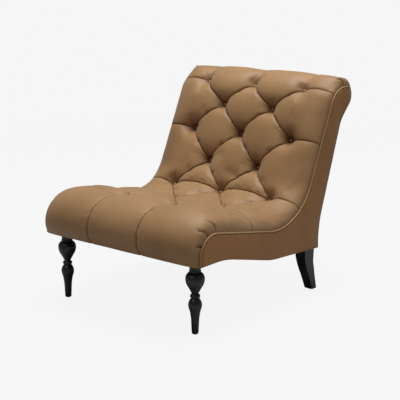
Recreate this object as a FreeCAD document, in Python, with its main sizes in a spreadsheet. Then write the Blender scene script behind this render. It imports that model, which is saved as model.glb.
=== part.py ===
# Deep-buttoned leather slipper chair: two plywood gables joined by rails, four screwed-in legs,
# webbing and hessian stretched over the gable edges, buttoned foam pads, and leather covers.
# X runs across the chair, the sitter faces -Y, Z is up. The origin is on the floor, under the
# middle of the whole chair.
import FreeCAD, Part
import math
import os
from FreeCAD import Vector
import Sketcher

doc = FreeCAD.newDocument("SlipperChair")
sheet = doc.addObject("Spreadsheet::Sheet", "dims")

# Driving dimensions, in millimetres.
SIZES = {
    "body_width": 746.0,
    "panel_depth": 903.0,
    "panel_top": 770.0,
    "seat_front_height": 368.0,
    "seat_back_height": 263.0,
    "front_underside": 252.0,
    "rear_underside": 174.0,
    "front_corner_radius": 75.0,
    "seat_back_radius": 235.0,
    "scroll_radius": 88.0,
    "nose_top_radius": 28.0,
    "nose_radius": 35.0,
    "nape_radius": 120.0,
    "tail_radius": 350.0,
    "underside_radius": 400.0,
    "button_pitch": 236.0,
    "pad_crown": 85.0,
    "pleat_depth": 12.0,
    "roll_depth": 32.0,
    "roll_blend_run": 30.0,
    "seam_blend_run": 190.0,
    "pit_reach": 82.0,
    "funnel_reach": 26.0,
    "crease_arch": 12.0,
    "seat_side_radius": 105.0,
    "back_side_radius": 118.0,
    "scroll_side_radius": 26.0,
    "scroll_side_start": 10.0,
    "scroll_side_run": 55.0,
    "edge_stand": 2.4,
    "button_flat": 7.0,
    "deck_inset": 14.0,
    "leather": 1.6,
    "soft_gap": 0.3,
    "wadding_thick": 4.4,
    "gable_thick": 22.0,
    "hessian_thick": 1.0,
    "webbing_thick": 2.0,
    "webbing_width": 50.0,
    "strap_end": 14.0,
    "cambric_thick": 1.0,
    "cambric_margin": 15.0,
    "leg_clearance": 0.8,
    "bottom_tuck": 2.2,
    "welt_radius": 3.5,
    "rail_thick": 19.0,
    "front_rail_height": 46.0,
    "front_rail_thick": 16.0,
    "nose_rail_run": 100.0,
    "nose_rail_width": 40.0,
    "nose_rail_depth": 22.0,
    "cross_rail_width": 18.0,
    "seat_rail_depth": 58.0,
    "back_rail_depth": 42.0,
    "rear_rail_height": 72.0,
    "roller_radius": 29.0,
    "roller_setback": 3.0,
    "rear_rail_setback": 5.0,
    "block_gap": 2.6,
    "rail_clear": 4.0,
    "block_length": 66.0,
    "block_width": 62.0,
    "block_height": 46.0,
    "front_leg_side_inset": 61.0,
    "front_leg_inset": 42.0,
    "collar_radius": 20.8,
    "bulb_radius": 33.3,
    "neck_radius": 11.5,
    "ring_radius": 17.5,
    "vase_radius": 23.7,
    "foot_radius": 11.8,
    "rear_leg_side_inset": 13.0,
    "rear_leg_inset": 5.0,
    "rear_leg_top_width": 45.0,
    "rear_leg_top_depth": 60.0,
    "rear_leg_foot_width": 35.0,
    "rear_leg_foot_depth": 27.0,
    "rear_leg_rake": 35.5,
    "rear_bolt_inset": 36.0,
    "glide_radius": 9.0,
    "glide_height": 3.0,
    "bolt_radius": 4.0,
    "bolt_in_leg": 38.0,
    "bolt_proud": 3.0,
    "bolt_clearance": 0.15,
    "nut_flange_radius": 8.5,
    "nut_flange_thick": 1.5,
    "nut_barrel_radius": 5.3,
    "nut_barrel_length": 9.0,
    "button_radius": 7.5,
    "button_stem_radius": 1.3,
    "button_taper": 8.4,
    "button_rim": 1.0,
    "button_stand": 0.9,
    "button_dome": 3.2,
    "twine_radius": 1.0,
    "twine_clearance": 0.4,
    "washer_radius": 8.0,
    "washer_thick": 1.6,
    "screw_radius": 2.2,
    "screw_length": 44.0,
    "screw_head_radius": 4.4,
    "screw_head_length": 2.6,
    "overrun": 5.0,
}
for line, (alias, value) in enumerate(SIZES.items(), start=1):
    sheet.set("A%d" % line, alias)
    sheet.set("B%d" % line, str(value))
    sheet.setAlias("B%d" % line, alias)
doc.recompute()


def size(alias):
    return float(sheet.get(alias))


# Places derived from the driving dimensions, shared by the pieces below.
half_width = size("body_width") / 2
soft_gap = size("soft_gap")
leather = size("leather")
wadding_outer = half_width - leather - soft_gap
wadding_inner = wadding_outer - size("wadding_thick")
gable_outer = wadding_inner - soft_gap
gable_inner = gable_outer - size("gable_thick")
welt_x = gable_outer + soft_gap + size("welt_radius")
hessian_top = size("deck_inset") + soft_gap
strap_top = hessian_top + size("hessian_thick") + soft_gap
cross_top = strap_top + size("webbing_thick") + soft_gap
gable_inset = cross_top + size("webbing_thick") + soft_gap
rail_inset = cross_top
rear_inset = leather + soft_gap + size("wadding_thick") + soft_gap
FRONT_PROUD_SHARE = 0.433
REAR_PROUD_SHARE = 0.21
crown_offset = (FRONT_PROUD_SHARE - REAR_PROUD_SHARE) * size("pad_crown")
panel_front = (crown_offset - size("panel_depth")) / 2

# The side panel's outline. Each corner: share of the depth from the front, share of the height
# between the named level and the top, that level, and the radius that rounds it.
FLOOR = 0.0
OUTLINE_SHARES = [
    (0.000, 0.000, "front_underside", None),
    (0.000, 0.000, "seat_front_height", "front_corner_radius"),
    (0.630, 0.000, "seat_back_height", "seat_back_radius"),
    (0.886, 1.000, None, "scroll_radius"),
    (1.000, 1.000, None, "nose_top_radius"),
    (1.000, 0.9325, None, "nose_radius"),
    (0.9236, 0.843, None, "nape_radius"),
    (0.7685, 0.340, None, "tail_radius"),
    (0.7685, 0.000, "rear_underside", None),
    (0.4374, 0.027, "rear_underside", "underside_radius"),
    (0.1417, 0.004, "front_underside", "underside_radius"),
]
corner_labels = [corner[2:] for corner in OUTLINE_SHARES]
nose_corner = corner_labels.index((None, "nose_radius"))
tail_corner = corner_labels.index(("rear_underside", None))


def outline_corner(depth_share, height_share, level, radius):
    base = size(level) if level else FLOOR
    y = panel_front + depth_share * size("panel_depth")
    z = base + height_share * (size("panel_top") - base)
    return Vector(0, y, z), (size(radius) if radius else 0)


def rounded_spans(corners):
    """Lines and tangent arcs round the corners, as spans with their run along the outline."""
    count = len(corners)
    points = [point for point, radius in corners]
    ways = [(points[(k + 1) % count] - points[k]).normalize() for k in range(count)]
    lengths = [(points[(k + 1) % count] - points[k]).Length for k in range(count)]
    cuts = []
    for k, (point, radius) in enumerate(corners):
        turn = ways[k - 1].getAngle(ways[k])
        cuts.append(radius * math.tan(turn / 2))
    keeps = [1.0] * count
    for k in range(count):
        after = (k + 1) % count
        spent = cuts[k] + cuts[after]
        if spent > lengths[k]:
            keeps[k] = min(keeps[k], lengths[k] / spent)
            keeps[after] = min(keeps[after], lengths[k] / spent)
    cuts = [cut * keep for cut, keep in zip(cuts, keeps)]
    spans = []
    run = 0
    for k in range(count):
        after = (k + 1) % count
        start = points[k] + ways[k] * cuts[k]
        length = lengths[k] - cuts[k] - cuts[after]
        spans.append({"run": run, "length": length, "start": start, "way": ways[k], "bend": 0})
        run += length
        turn = ways[k].getAngle(ways[after])
        radius = corners[after][1] * keeps[after]
        if radius:
            across = ways[k].cross(ways[after]).x
            bend = math.copysign(1 / radius, across)
            corner_start = points[after] - ways[k] * cuts[after]
            spans.append({"run": run, "length": radius * turn, "start": corner_start,
                          "way": ways[k], "bend": bend, "corner": after})
            run += radius * turn
        else:
            spans.append({"run": run, "length": 0, "start": points[after], "way": ways[k],
                          "bend": 0, "corner": after})
    return spans


SPANS = rounded_spans([outline_corner(*corner) for corner in OUTLINE_SHARES])
SAME_PLACE = 1e-6


def corner_run(corner):
    """The run at which the outline has passed a corner."""
    span = [span for span in SPANS if span.get("corner") == corner][0]
    return span["run"] + span["length"]


def spot(run, lift=0.0, x=0.0, span=None):
    """The point at a run along the outline, lifted square to it, and the outward direction."""
    if span is None:
        span = [span for span in SPANS if span["run"] <= run + SAME_PLACE and span["length"] > 0][-1]
    along = run - span["run"]
    way = span["way"]
    outward = Vector(0, -way.z, way.y)
    if span["bend"]:
        turn = along * span["bend"]
        point = (span["start"] + outward / span["bend"]
                 - outward * (math.cos(turn) / span["bend"]) + way * (math.sin(turn) / span["bend"]))
        outward = outward * math.cos(turn) - way * math.sin(turn)
    else:
        point = span["start"] + way * along
    return Vector(x, 0, 0) + point + outward * lift, outward


def run_edges(start, end, lift, x=0.0):
    """Lines and arcs along the outline from one run to another, at one lift."""
    edges = []
    for span in SPANS:
        first = max(start, span["run"])
        last = min(end, span["run"] + span["length"])
        if last - first <= SAME_PLACE:
            continue
        a = spot(first, lift, x, span)[0]
        b = spot(last, lift, x, span)[0]
        if span["bend"]:
            edges.append(Part.Arc(a, spot((first + last) / 2, lift, x, span)[0], b))
        else:
            edges.append(Part.LineSegment(a, b))
    return edges


def ends_of(edge):
    return edge.value(edge.FirstParameter), edge.value(edge.LastParameter)


def closed_loop(chains):
    """Join chains of edges, each in travel order, into one closed list with straight links."""
    loop = []
    for k, chain in enumerate(chains):
        loop += chain
        end = ends_of(chain[-1])[1]
        start = ends_of(chains[(k + 1) % len(chains)][0])[0]
        if (start - end).Length > SAME_PLACE:
            loop.append(Part.LineSegment(end, start))
    return loop


def backwards(edges):
    turned = []
    for edge in reversed(edges):
        start, end = ends_of(edge)
        if isinstance(edge, Part.LineSegment):
            turned.append(Part.LineSegment(end, start))
        else:
            middle = edge.value((edge.FirstParameter + edge.LastParameter) / 2)
            turned.append(Part.Arc(end, middle, start))
    return turned


def band(start, end, outer, inner):
    """A closed strip along the outline between two lifts."""
    return closed_loop([run_edges(start, end, outer), backwards(run_edges(start, end, inner))])


def mitred(before, after):
    """Two chains whose straight end and start are run on, or cut back, to where they cross."""
    start, way = ends_of(before[-1])[0], ends_of(before[-1])[1] - ends_of(before[-1])[0]
    end, back = ends_of(after[0])[1], ends_of(after[0])[0] - ends_of(after[0])[1]
    square = Vector(0, -back.z, back.y)
    corner = start + way * (square.dot(end - start) / square.dot(way))
    return (before[:-1] + [Part.LineSegment(start, corner)],
            [Part.LineSegment(corner, end)] + after[1:])


def panel_loop(front_lift, rear_lift, bottom_lift, x=0.0):
    """The whole outline, with its own lift along the front, the rear and the under side."""
    front = run_edges(0, scroll_end, front_lift, x)
    rear = run_edges(scroll_end, tail_run, rear_lift, x)
    bottom = run_edges(tail_run, RUN_END, bottom_lift, x)
    rear, bottom = mitred(rear, bottom)
    bottom, front = mitred(bottom, front)
    return closed_loop([front, rear, bottom])


RUN_END = SPANS[-1]["run"] + SPANS[-1]["length"]
scroll_end = corner_run(nose_corner)
tail_run = corner_run(tail_corner)


# Makers of the pieces.
def origin_plane(body, role):
    return [feature for feature in body.Origin.OriginFeatures if feature.Role == role][0]


def side_body(label, loop, thickness, start=None):
    """A piece cut to a side profile: a pad, centred on the chair or starting at a given X."""
    body = doc.addObject("PartDesign::Body", label)
    body.Label = label
    sketch = body.newObject("Sketcher::SketchObject", label + "_profile")
    sketch.AttachmentSupport = [(origin_plane(body, "YZ_Plane"), "")]
    sketch.MapMode = "FlatFace"
    for edge in loop:
        a, b = ends_of(edge)
        flat = [Vector(point.y, point.z, 0) for point in (a, b)]
        if isinstance(edge, Part.LineSegment):
            sketch.addGeometry(Part.LineSegment(*flat), False)
        else:
            middle = edge.value((edge.FirstParameter + edge.LastParameter) / 2)
            arc = Part.Arc(flat[0], Vector(middle.y, middle.z, 0), flat[1])
            sketch.addGeometry(arc, False)
    pad = body.newObject("PartDesign::Pad", label + "_pad")
    pad.Profile = sketch
    pad.setExpression("Length", thickness)
    if start is None:
        pad.Midplane = True
    else:
        sketch.setExpression("AttachmentOffset.Base.z", start)
    return body


def named(label, shape):
    piece = doc.addObject("Part::Feature", label)
    piece.Label = label
    piece.Shape = shape
    return piece


print("runs: scroll end %.1f, tail %.1f, all %.1f" % (scroll_end, tail_run, RUN_END))


# Button rows, numbered from the top of the back to the front of the seat: the share of the run
# from the front hem to the end of the scroll, and as shares of the pad's crown the leather's lift
# at a button and between buttons.
BACK_ROW_RUN_SHARES = (0.870, 0.803, 0.717, 0.622, 0.515)
SEAT_ROW_RUN_SHARES = (0.388, 0.278, 0.182)
ROW_LIFT_SHARES = (0.10, 0.01, -0.09, -0.09, 0.10, 0.31, 0.36, 0.36)
ROW_CROWN_SHARES = (0.58, 0.59, 0.59, 0.59, 0.66, 0.81, 0.86, 0.87)
row_runs = [scroll_end * share for share in BACK_ROW_RUN_SHARES + SEAT_ROW_RUN_SHARES]
row_lifts = [size("pad_crown") * share for share in ROW_LIFT_SHARES]
row_crowns = [size("pad_crown") * share for share in ROW_CROWN_SHARES]
pitch = size("button_pitch")
CREASE = len(BACK_ROW_RUN_SHARES) - 1
LAST_ROW = len(row_runs) - 1


def columns(row):
    """The X places of a row's buttons: three in odd rows, two in even ones."""
    return (-pitch, 0, pitch) if row % 2 == 0 else (-pitch / 2, pitch / 2)


BUTTONS = [(row, x) for row in range(len(row_runs)) for x in columns(row)]


# The leather's outer surface, cut at one X. Pleats run in zigzags from row to row, so at each X
# every pleat has a run and a share of its way, 0 at odd rows' buttons and 1 at even rows'.
def pleat_way(x):
    if abs(x) >= pitch:
        return 0.0
    return 1 - abs(abs(x) - pitch / 2) / (pitch / 2)


def side_way(x):
    return max(0.0, (abs(x) - pitch) / (gable_outer - pitch))


def smooth_share(value):
    """0 to 1 with level ends."""
    value = min(1.0, max(0.0, value))
    return value * value * (3 - 2 * value)


def pleat(x, odd_row, even_row, odd_shift, even_shift):
    """A pleat's run at X, between a button of an odd row and one of an even row."""
    start = row_runs[odd_row] + odd_shift
    end = row_runs[even_row] + even_shift
    return start + (end - start) * pleat_way(x)


def crease_at(x, side):
    """The crease between seat and back, arched between its buttons; side is 1 for the back."""
    return row_runs[CREASE] + side * soft_gap / 2 + size("crease_arch") * pleat_way(x)


SEAT_CREST_SHARE = 0.86
HEM_STAND_SHARE = 0.19
FRONT_SWELL_SHARE = 0.25


def crown(run):
    """The foam's lift at a run: over the front roll, through the rows, and round the scroll."""
    if run <= row_runs[LAST_ROW]:
        hem = size("pad_crown") * HEM_STAND_SHARE
        crest = size("pad_crown") * SEAT_CREST_SHARE
        swell_run = row_runs[LAST_ROW] * FRONT_SWELL_SHARE
        return hem + (crest - hem) * (1 - math.exp(-run / swell_run))
    if run >= row_runs[0]:
        share = (run - row_runs[0]) / (scroll_end - row_runs[0])
        return size("edge_stand") + (row_crowns[0] - size("edge_stand")) * (1 - share ** 2)
    row = [k for k in range(LAST_ROW) if row_runs[k + 1] <= run][0]
    part = smooth_share((run - row_runs[row + 1]) / (row_runs[row] - row_runs[row + 1]))
    return row_crowns[row + 1] * (1 - part) + row_crowns[row] * part


PIT_POWER = 2.2
SIDE_PLEAT_SHARE = 0.5
PILLOW_FLATNESS = 2.2
PILLOW_STEEPNESS = 0.6


def sunk(x, run):
    """How far a pleat lies below the crown: deepest at the buttons, deeper on the roll's seams."""
    on_roll = smooth_share((row_runs[LAST_ROW] - run) / size("roll_blend_run") + 0.5)
    pleat_depth = size("pleat_depth") * (1 - (1 - SIDE_PLEAT_SHARE) * smooth_share(side_way(x)))
    pleat_depth += (size("roll_depth") - size("pleat_depth")) * on_roll
    deepest = 0.0
    for row, button_x in BUTTONS:
        reach = math.hypot(x - button_x, run - row_runs[row]) / size("pit_reach")
        if reach < 1:
            pit = crown(row_runs[row]) - row_lifts[row] - size("pleat_depth")
            deepest = max(deepest, pit * (1 - reach) ** PIT_POWER)
    return pleat_depth + deepest


def funnel(x, run):
    """0 at a button and 1 away from it: every pad falls into the pit of the nearest button."""
    reach = min(math.hypot(x - button_x, run - row_runs[row]) for row, button_x in BUTTONS)
    return 1 - math.exp(-(reach / size("funnel_reach")) ** 2)


def wall(share):
    """A pillow's profile: 1 in the middle, falling steeply to 0 at a share of 1 or -1."""
    return (1 - min(1.0, abs(share)) ** PILLOW_FLATNESS) ** PILLOW_STEEPNESS


def across(x, middle_column):
    """The place across a diamond: 0 in its middle column, 1 at its ends."""
    if middle_column:
        return pleat_way(x)
    return 1 - pleat_way(x) if abs(x) < pitch else 1.0


def pillow(along, side):
    """How far a pad has risen from its pleats, at a share along it and a share across it."""
    along *= 1 - side
    return wall(along + side) * wall(along - side)


def seat_side(run):
    return size("seat_side_radius")


def back_side(run):
    """The side rounding's radius: wide up the back, small round the scroll."""
    past = run - row_runs[0] - size("scroll_side_start")
    share = smooth_share(past / size("scroll_side_run"))
    return size("back_side_radius") * (1 - share) + size("scroll_side_radius") * share


def leather_lift(x, run, risen, side_radius_at):
    """The leather's lift where a pad has risen by a share from its pleats."""
    radius = side_radius_at(run)
    reach = max(0.0, abs(x) - (gable_outer - radius)) / radius
    fall = math.sqrt(max(0.0, 1 - reach ** 2))
    lift = crown(run) - sunk(x, run) * (1 - risen * funnel(x, run))
    return size("edge_stand") + (lift - size("edge_stand")) * fall


SPAN_SHARES = (0.16, 0.50, 0.84, 1.0)
SCROLL_JOINT_SHARES = (0.3, 0.55, 0.78, 1.0)
FRONT_JOINT_SHARES = (0.24, 0.46, 0.64, 0.82, 1.0)
FOLD_SHARE = 0.1
CREASE_RISE_SHARE = 0.8


def span(x, low, high, middle_column, crease_end=0):
    """Arc points from one pleat to the next. A half pad at the crease has crease_end 1 or -1."""
    side = across(x, middle_column)
    points = []
    for share in SPAN_SHARES:
        along = 2 * share - 1
        if crease_end:
            along = share if crease_end > 0 else 1 - share
        risen = pillow(along, side)
        if crease_end:
            risen *= wall(max(0.0, 1 - along * (1 - side) / CREASE_RISE_SHARE))
        points.append((low + (high - low) * share, risen))
    return points


def free_span(x, start, end, joint_shares, last_row, seam_columns):
    """Arc points from the last pleat to a hem: a half pad, then the roll between its seams."""
    side = across(x, last_row == LAST_ROW)
    nearest = min(abs(abs(x) - column) for column in seam_columns)
    lobe = wall(max(0.0, 1 - nearest / (pitch / 2))) ** 2
    points = []
    before = 0.0
    for joint in joint_shares:
        for share in ((before + joint) / 2, joint):
            run = start + (end - start) * share
            beyond = abs(run - row_runs[last_row])
            if (run - row_runs[last_row]) * (end - start) < 0:
                risen = pillow(beyond / abs(start - row_runs[last_row]), side)
            else:
                risen = lobe + (1 - FOLD_SHARE - lobe) * smooth_share(beyond / size("seam_blend_run"))
            points.append((run, risen))
        before = joint
    return points


def back_section(x):
    """Runs and lifts up the back at X, from the crease over the scroll to its hem."""
    flat = size("button_flat") / 2
    runs = [crease_at(x, 1), pleat(x, CREASE, 3, flat, -flat), pleat(x, 2, 3, -flat, flat),
            pleat(x, 2, 1, flat, -flat), pleat(x, 0, 1, 0, flat)]
    points = [(runs[0], 0.0)] + span(x, runs[0], runs[1], False, 1)
    points += span(x, runs[1], runs[2], True) + span(x, runs[2], runs[3], False)
    points += span(x, runs[3], runs[4], True)
    points += free_span(x, runs[4], scroll_end, SCROLL_JOINT_SHARES, 0, (0, pitch))
    return [(run, leather_lift(x, run, risen, back_side)) for run, risen in points]


def seat_section(x):
    """Runs and lifts along the seat at X, from the front hem over the roll to the crease."""
    flat = size("button_flat") / 2
    front, crease = pleat(x, 6, 7, -flat, 0), crease_at(x, -1)
    second, third = pleat(x, 6, 5, flat, -flat), pleat(x, CREASE, 5, -flat, flat)
    roll = free_span(x, front, 0, FRONT_JOINT_SHARES, LAST_ROW, (pitch / 2,))
    points = roll[::-1] + [(front, 0.0)] + span(x, front, second, False)
    points += span(x, second, third, True) + span(x, third, crease, False, -1)
    return [(run, leather_lift(x, run, risen, seat_side)) for run, risen in points]


# Stations across the chair: close beside each pleat and button, wide over the pads.
HALF_PITCH_SHARES = (0.15, 0.5, 0.85, 1.0)
SIDE_SHARES = (0.35, 0.7, 0.9, 1.0)
right_stations = [pitch / 2 * (half + share) for half in range(2) for share in HALF_PITCH_SHARES]
right_stations += [pitch + (gable_outer - pitch) * share for share in SIDE_SHARES]
stations = [-x for x in reversed(right_stations)] + [0.0] + right_stations


STRAIGHT_SHARE = 0.0005


def arcs_through(section, x, sink):
    """Arcs through a section's points in threes, sunk square to the outline."""
    points = [spot(run, lift - sink, x)[0] for run, lift in section]
    edges = []
    for start, middle, end in zip(points[0::2], points[1::2], points[2::2]):
        bow = middle.distanceToLine(start, end - start)
        straight = bow < STRAIGHT_SHARE * (end - start).Length
        edges.append(Part.LineSegment(start, end) if straight else Part.Arc(start, middle, end))
    return edges


def lofted(section_at, sink, floor_at):
    """A solid through all stations; floor_at gives the section's under side, in travel order."""
    wires = []
    for x in stations:
        section = section_at(x)
        loop = closed_loop([arcs_through(section, x, sink), floor_at(x, section)])
        wires.append(Part.Wire([edge.toShape() for edge in loop]))
    return Part.makeLoft(wires, True, True)


def pad_floor(start, end):
    def floor_at(x, section):
        return backwards(run_edges(start, end, -size("deck_inset"), x))
    return floor_at


def cover_floor(x, section):
    return backwards(arcs_through(section, x, leather))


# Frame. Every profile piece follows the same outline at its own inset.
GABLE_OUTER = "(dims.body_width / 2 - dims.leather - 2 * dims.soft_gap - dims.wadding_thick)"
GABLE_INNER = "(%s - dims.gable_thick)" % GABLE_OUTER
RAIL_LENGTH = "2 * " + GABLE_INNER
bottom_tuck = size("bottom_tuck")
gable_loop = panel_loop(-gable_inset, -rear_inset, -bottom_tuck)
bare_gables = {
    "gable_left": side_body("gable_left_board", gable_loop, "dims.gable_thick", "-" + GABLE_OUTER),
    "gable_right": side_body("gable_right_board", gable_loop, "dims.gable_thick", GABLE_INNER),
}

# Cross rails stand beside a button row, clear of its washers.
washer_reach = size("washer_radius") + size("rail_clear")
cross_width = size("cross_rail_width")
seat_rail_run = row_runs[5] + washer_reach
waist_rail_run = row_runs[3] - washer_reach - cross_width
top_rail_run = row_runs[1] - washer_reach - cross_width
front_rail_start = bottom_tuck + 2 * soft_gap
nose_rail_end = size("nose_rail_run") + size("nose_rail_width")
rail_bands = {
    "front_rail": (front_rail_start, front_rail_start + size("front_rail_height"),
                   size("front_rail_thick")),
    "nose_rail": (size("nose_rail_run"), nose_rail_end, size("nose_rail_depth")),
    "seat_rail": (seat_rail_run, seat_rail_run + cross_width, size("seat_rail_depth")),
    "waist_rail": (waist_rail_run, waist_rail_run + cross_width, size("back_rail_depth")),
    "top_rail": (top_rail_run, top_rail_run + cross_width, size("back_rail_depth")),
}
bare_rails = {}
for label, (start, end, depth) in rail_bands.items():
    loop = band(start, end, -rail_inset, -rail_inset - depth)
    bare_rails[label] = side_body(label + "_board", loop, RAIL_LENGTH)

# The rear rail stands on edge at the tail, square to the underside; the roller fills the scroll.
rear_rail_run = tail_run + rear_inset + size("rear_rail_setback")
rear_rail_loop = band(rear_rail_run, rear_rail_run + size("rail_thick"),
                      -bottom_tuck - size("rear_rail_height"), -bottom_tuck)
bare_rails["rear_rail"] = side_body("rear_rail_board", rear_rail_loop, RAIL_LENGTH)
nose_top = outline_corner(*OUTLINE_SHARES[nose_corner - 1])[0]
roller_back = rail_inset + size("roller_radius") + size("roller_setback")
roller_centre = nose_top - Vector(0, roller_back, rail_inset + size("roller_radius"))


# Bores and the fasteners in them.
def rod(radius, length, base, way):
    return Part.makeCylinder(radius, length, base, way)


def drilled(label, base, bores):
    """The piece left when bores are cut out of its board."""
    tool = named(label + "_bores", Part.Compound(bores))
    cut = doc.addObject("Part::Cut", label)
    cut.Label = label
    cut.Base = base
    cut.Tool = tool
    return cut


def grouped(label, solids):
    return named(label, Part.Compound(solids))


def screw(side, y, z, clearance=0.0):
    """A countersunk screw through a gable into a rail's end; clearance makes its bore."""
    way = Vector(-side, 0, 0)
    start = Vector(side * gable_outer, y, z)
    shank = rod(size("screw_radius") + clearance, size("screw_length") + clearance, start, way)
    head = Part.makeCone(size("screw_head_radius") + clearance, size("screw_radius") + clearance,
                         size("screw_head_length") + clearance, start, way)
    return shank.fuse(head)


def rail_middle(label, run_share, depth_share):
    start, end, depth = rail_bands[label]
    point = spot(start + (end - start) * run_share, -rail_inset - depth * depth_share)[0]
    return point.y, point.z


def rear_rail_middle(share):
    lift = -bottom_tuck - size("rear_rail_height") * share
    point = spot(rear_rail_run + size("rail_thick") / 2, lift)[0]
    return point.y, point.z


RAIL_SCREW_SHARES = (0.25, 0.75)
screw_places = {
    "front_rail": [rail_middle("front_rail", share, 0.5) for share in RAIL_SCREW_SHARES],
    "nose_rail": [rail_middle("nose_rail", share, 0.5) for share in RAIL_SCREW_SHARES],
    "seat_rail": [rail_middle("seat_rail", 0.5, share) for share in RAIL_SCREW_SHARES],
    "waist_rail": [rail_middle("waist_rail", 0.5, share) for share in RAIL_SCREW_SHARES],
    "top_rail": [rail_middle("top_rail", 0.5, share) for share in RAIL_SCREW_SHARES],
    "rear_rail": [rear_rail_middle(share) for share in RAIL_SCREW_SHARES],
    "scroll_roller": [(roller_centre.y, roller_centre.z)],
}
bolt_clearance = size("bolt_clearance")
roller = doc.addObject("Part::Cylinder", "scroll_roller_board")
roller.setExpression("Radius", "dims.roller_radius")
roller.setExpression("Height", RAIL_LENGTH)
roller.Placement = FreeCAD.Placement(Vector(-gable_inner, roller_centre.y, roller_centre.z),
                                     FreeCAD.Rotation(Vector(0, 1, 0), 90))
bare_rails["scroll_roller"] = roller
for label, board in bare_rails.items():
    bores = [screw(side, y, z, bolt_clearance) for side in (-1, 1) for y, z in screw_places[label]]
    drilled(label, board, bores)
for label, side in (("gable_left", -1), ("gable_right", 1)):
    bores = [screw(side, y, z, bolt_clearance) for places in screw_places.values() for y, z in places]
    drilled(label, bare_gables[label], bores)
grouped("frame_screws", [screw(side, y, z) for side in (-1, 1)
                         for places in screw_places.values() for y, z in places])

# Corner blocks, and the hanger bolts that hold the legs to them. A bolt stands square to the
# underside, on the run where its leg is centred.
BLOCK_START = "(%s - dims.block_length)" % GABLE_INNER
front_block_end = RUN_END - rail_inset - size("front_rail_thick") - size("block_gap")
rear_block_start = rear_rail_run + size("rail_thick")
block_runs = {
    "front": (front_block_end - size("block_width"), front_block_end),
    "rear": (rear_block_start, rear_block_start + size("block_width")),
}
tail = outline_corner(*OUTLINE_SHARES[tail_corner])[0]
front_leg_x = half_width - size("front_leg_side_inset")
front_leg_y = panel_front + size("front_leg_inset")
rear_leg_outer = half_width - size("rear_leg_side_inset")
rear_leg_back = tail.y - size("rear_leg_inset")
rear_bolt_x = gable_inner - size("nut_flange_radius") - size("block_gap")
bolt_runs = {
    "front": RUN_END - size("front_leg_inset"),
    "rear": tail_run + size("rear_leg_inset") + size("rear_bolt_inset"),
}


def bolt_place(end, side):
    """Where a bolt leaves the block's under side, and the way it climbs."""
    x = side * (front_leg_x if end == "front" else rear_bolt_x)
    point, outward = spot(bolt_runs[end], -bottom_tuck, x)
    return point, -outward


def hanger_bolt(end, side, clearance=0.0):
    point, up = bolt_place(end, side)
    length = size("bolt_in_leg") + size("block_height") + size("bolt_proud") + clearance
    return rod(size("bolt_radius") + clearance, length, point - up * size("bolt_in_leg"), up)


def nut_barrel(end, side, clearance=0.0):
    point, up = bolt_place(end, side)
    top = point + up * size("block_height")
    return rod(size("nut_barrel_radius") + clearance, size("nut_barrel_length") + clearance, top, -up)


def tee_nut(end, side):
    point, up = bolt_place(end, side)
    flange = rod(size("nut_flange_radius"), size("nut_flange_thick"), point + up * size("block_height"), up)
    return flange.fuse(nut_barrel(end, side)).cut(hanger_bolt(end, side, bolt_clearance))


CORNERS = [(end, side) for end in ("front", "rear") for side in (-1, 1)]
SIDE_NAMES = {-1: "left", 1: "right"}
for end, side in CORNERS:
    label = "corner_block_%s_%s" % (end, SIDE_NAMES[side])
    start, stop = block_runs[end]
    loop = band(start, stop, -bottom_tuck - size("block_height"), -bottom_tuck)
    place = BLOCK_START if side > 0 else "-" + GABLE_INNER
    board = side_body(label + "_board", loop, "dims.block_length", place)
    bores = [hanger_bolt(end, side, bolt_clearance), nut_barrel(end, side, bolt_clearance)]
    drilled(label, board, bores)
grouped("hanger_bolts", [hanger_bolt(end, side) for end, side in CORNERS])
grouped("tee_nuts", [tee_nut(end, side) for end, side in CORNERS])

# A front leg's turning, from the foot up. Each stretch: line or arc, and its further points as
# a radius name, a share of that radius and a share of the leg's height.
TURNING_SHARES = [
    [("foot_radius", 1.18, 0.193)],
    [("foot_radius", 1.34, 0.260), ("vase_radius", 0.80, 0.327)],
    [("vase_radius", 0.93, 0.362), ("vase_radius", 1.00, 0.405)],
    [("vase_radius", 0.87, 0.460), ("neck_radius", 1.17, 0.499)],
    [("ring_radius", 0.84, 0.504)],
    [("ring_radius", 1.00, 0.528), ("ring_radius", 0.84, 0.552)],
    [("neck_radius", 1.00, 0.558)],
    [("neck_radius", 1.02, 0.566)],
    [("bulb_radius", 0.70, 0.652)],
    [("bulb_radius", 0.925, 0.708), ("bulb_radius", 1.00, 0.766)],
    [("bulb_radius", 0.91, 0.818), ("collar_radius", 1.04, 0.854)],
    [("collar_radius", 0.93, 0.858)],
    [("collar_radius", 1.00, 0.873), ("collar_radius", 0.93, 0.888)],
    [("collar_radius", 0.93, 1.000)],
]
front_leg_top = size("front_underside") + bottom_tuck


def front_leg(side):
    label = "front_leg_" + SIDE_NAMES[side]
    body = doc.addObject("PartDesign::Body", label + "_turning")
    body.Label = label + "_turning"
    sketch = body.newObject("Sketcher::SketchObject", label + "_profile")
    sketch.AttachmentSupport = [(origin_plane(body, "XZ_Plane"), "")]
    sketch.MapMode = "FlatFace"
    foot = Vector(0, size("glide_height"), 0)
    last = Vector(size("foot_radius"), size("glide_height"), 0)
    sketch.addGeometry(Part.LineSegment(foot, last), False)
    for stretch in TURNING_SHARES:
        points = [Vector(size(name) * radius_share, front_leg_top * height_share, 0)
                  for name, radius_share, height_share in stretch]
        straight = len(points) == 1
        edge = Part.LineSegment(last, points[0]) if straight else Part.Arc(last, *points)
        sketch.addGeometry(edge, False)
        last = points[-1]
    top = Vector(0, front_leg_top, 0)
    sketch.addGeometry(Part.LineSegment(last, top), False)
    sketch.addGeometry(Part.LineSegment(top, foot), False)
    turning = body.newObject("PartDesign::Revolution", label + "_revolution")
    turning.Profile = sketch
    turning.ReferenceAxis = (sketch, ["V_Axis"])
    turning.Angle = 360
    body.Placement.Base = Vector(side * front_leg_x, front_leg_y, 0)
    return drilled(label, body, [hanger_bolt("front", side, bolt_clearance)])


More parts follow.
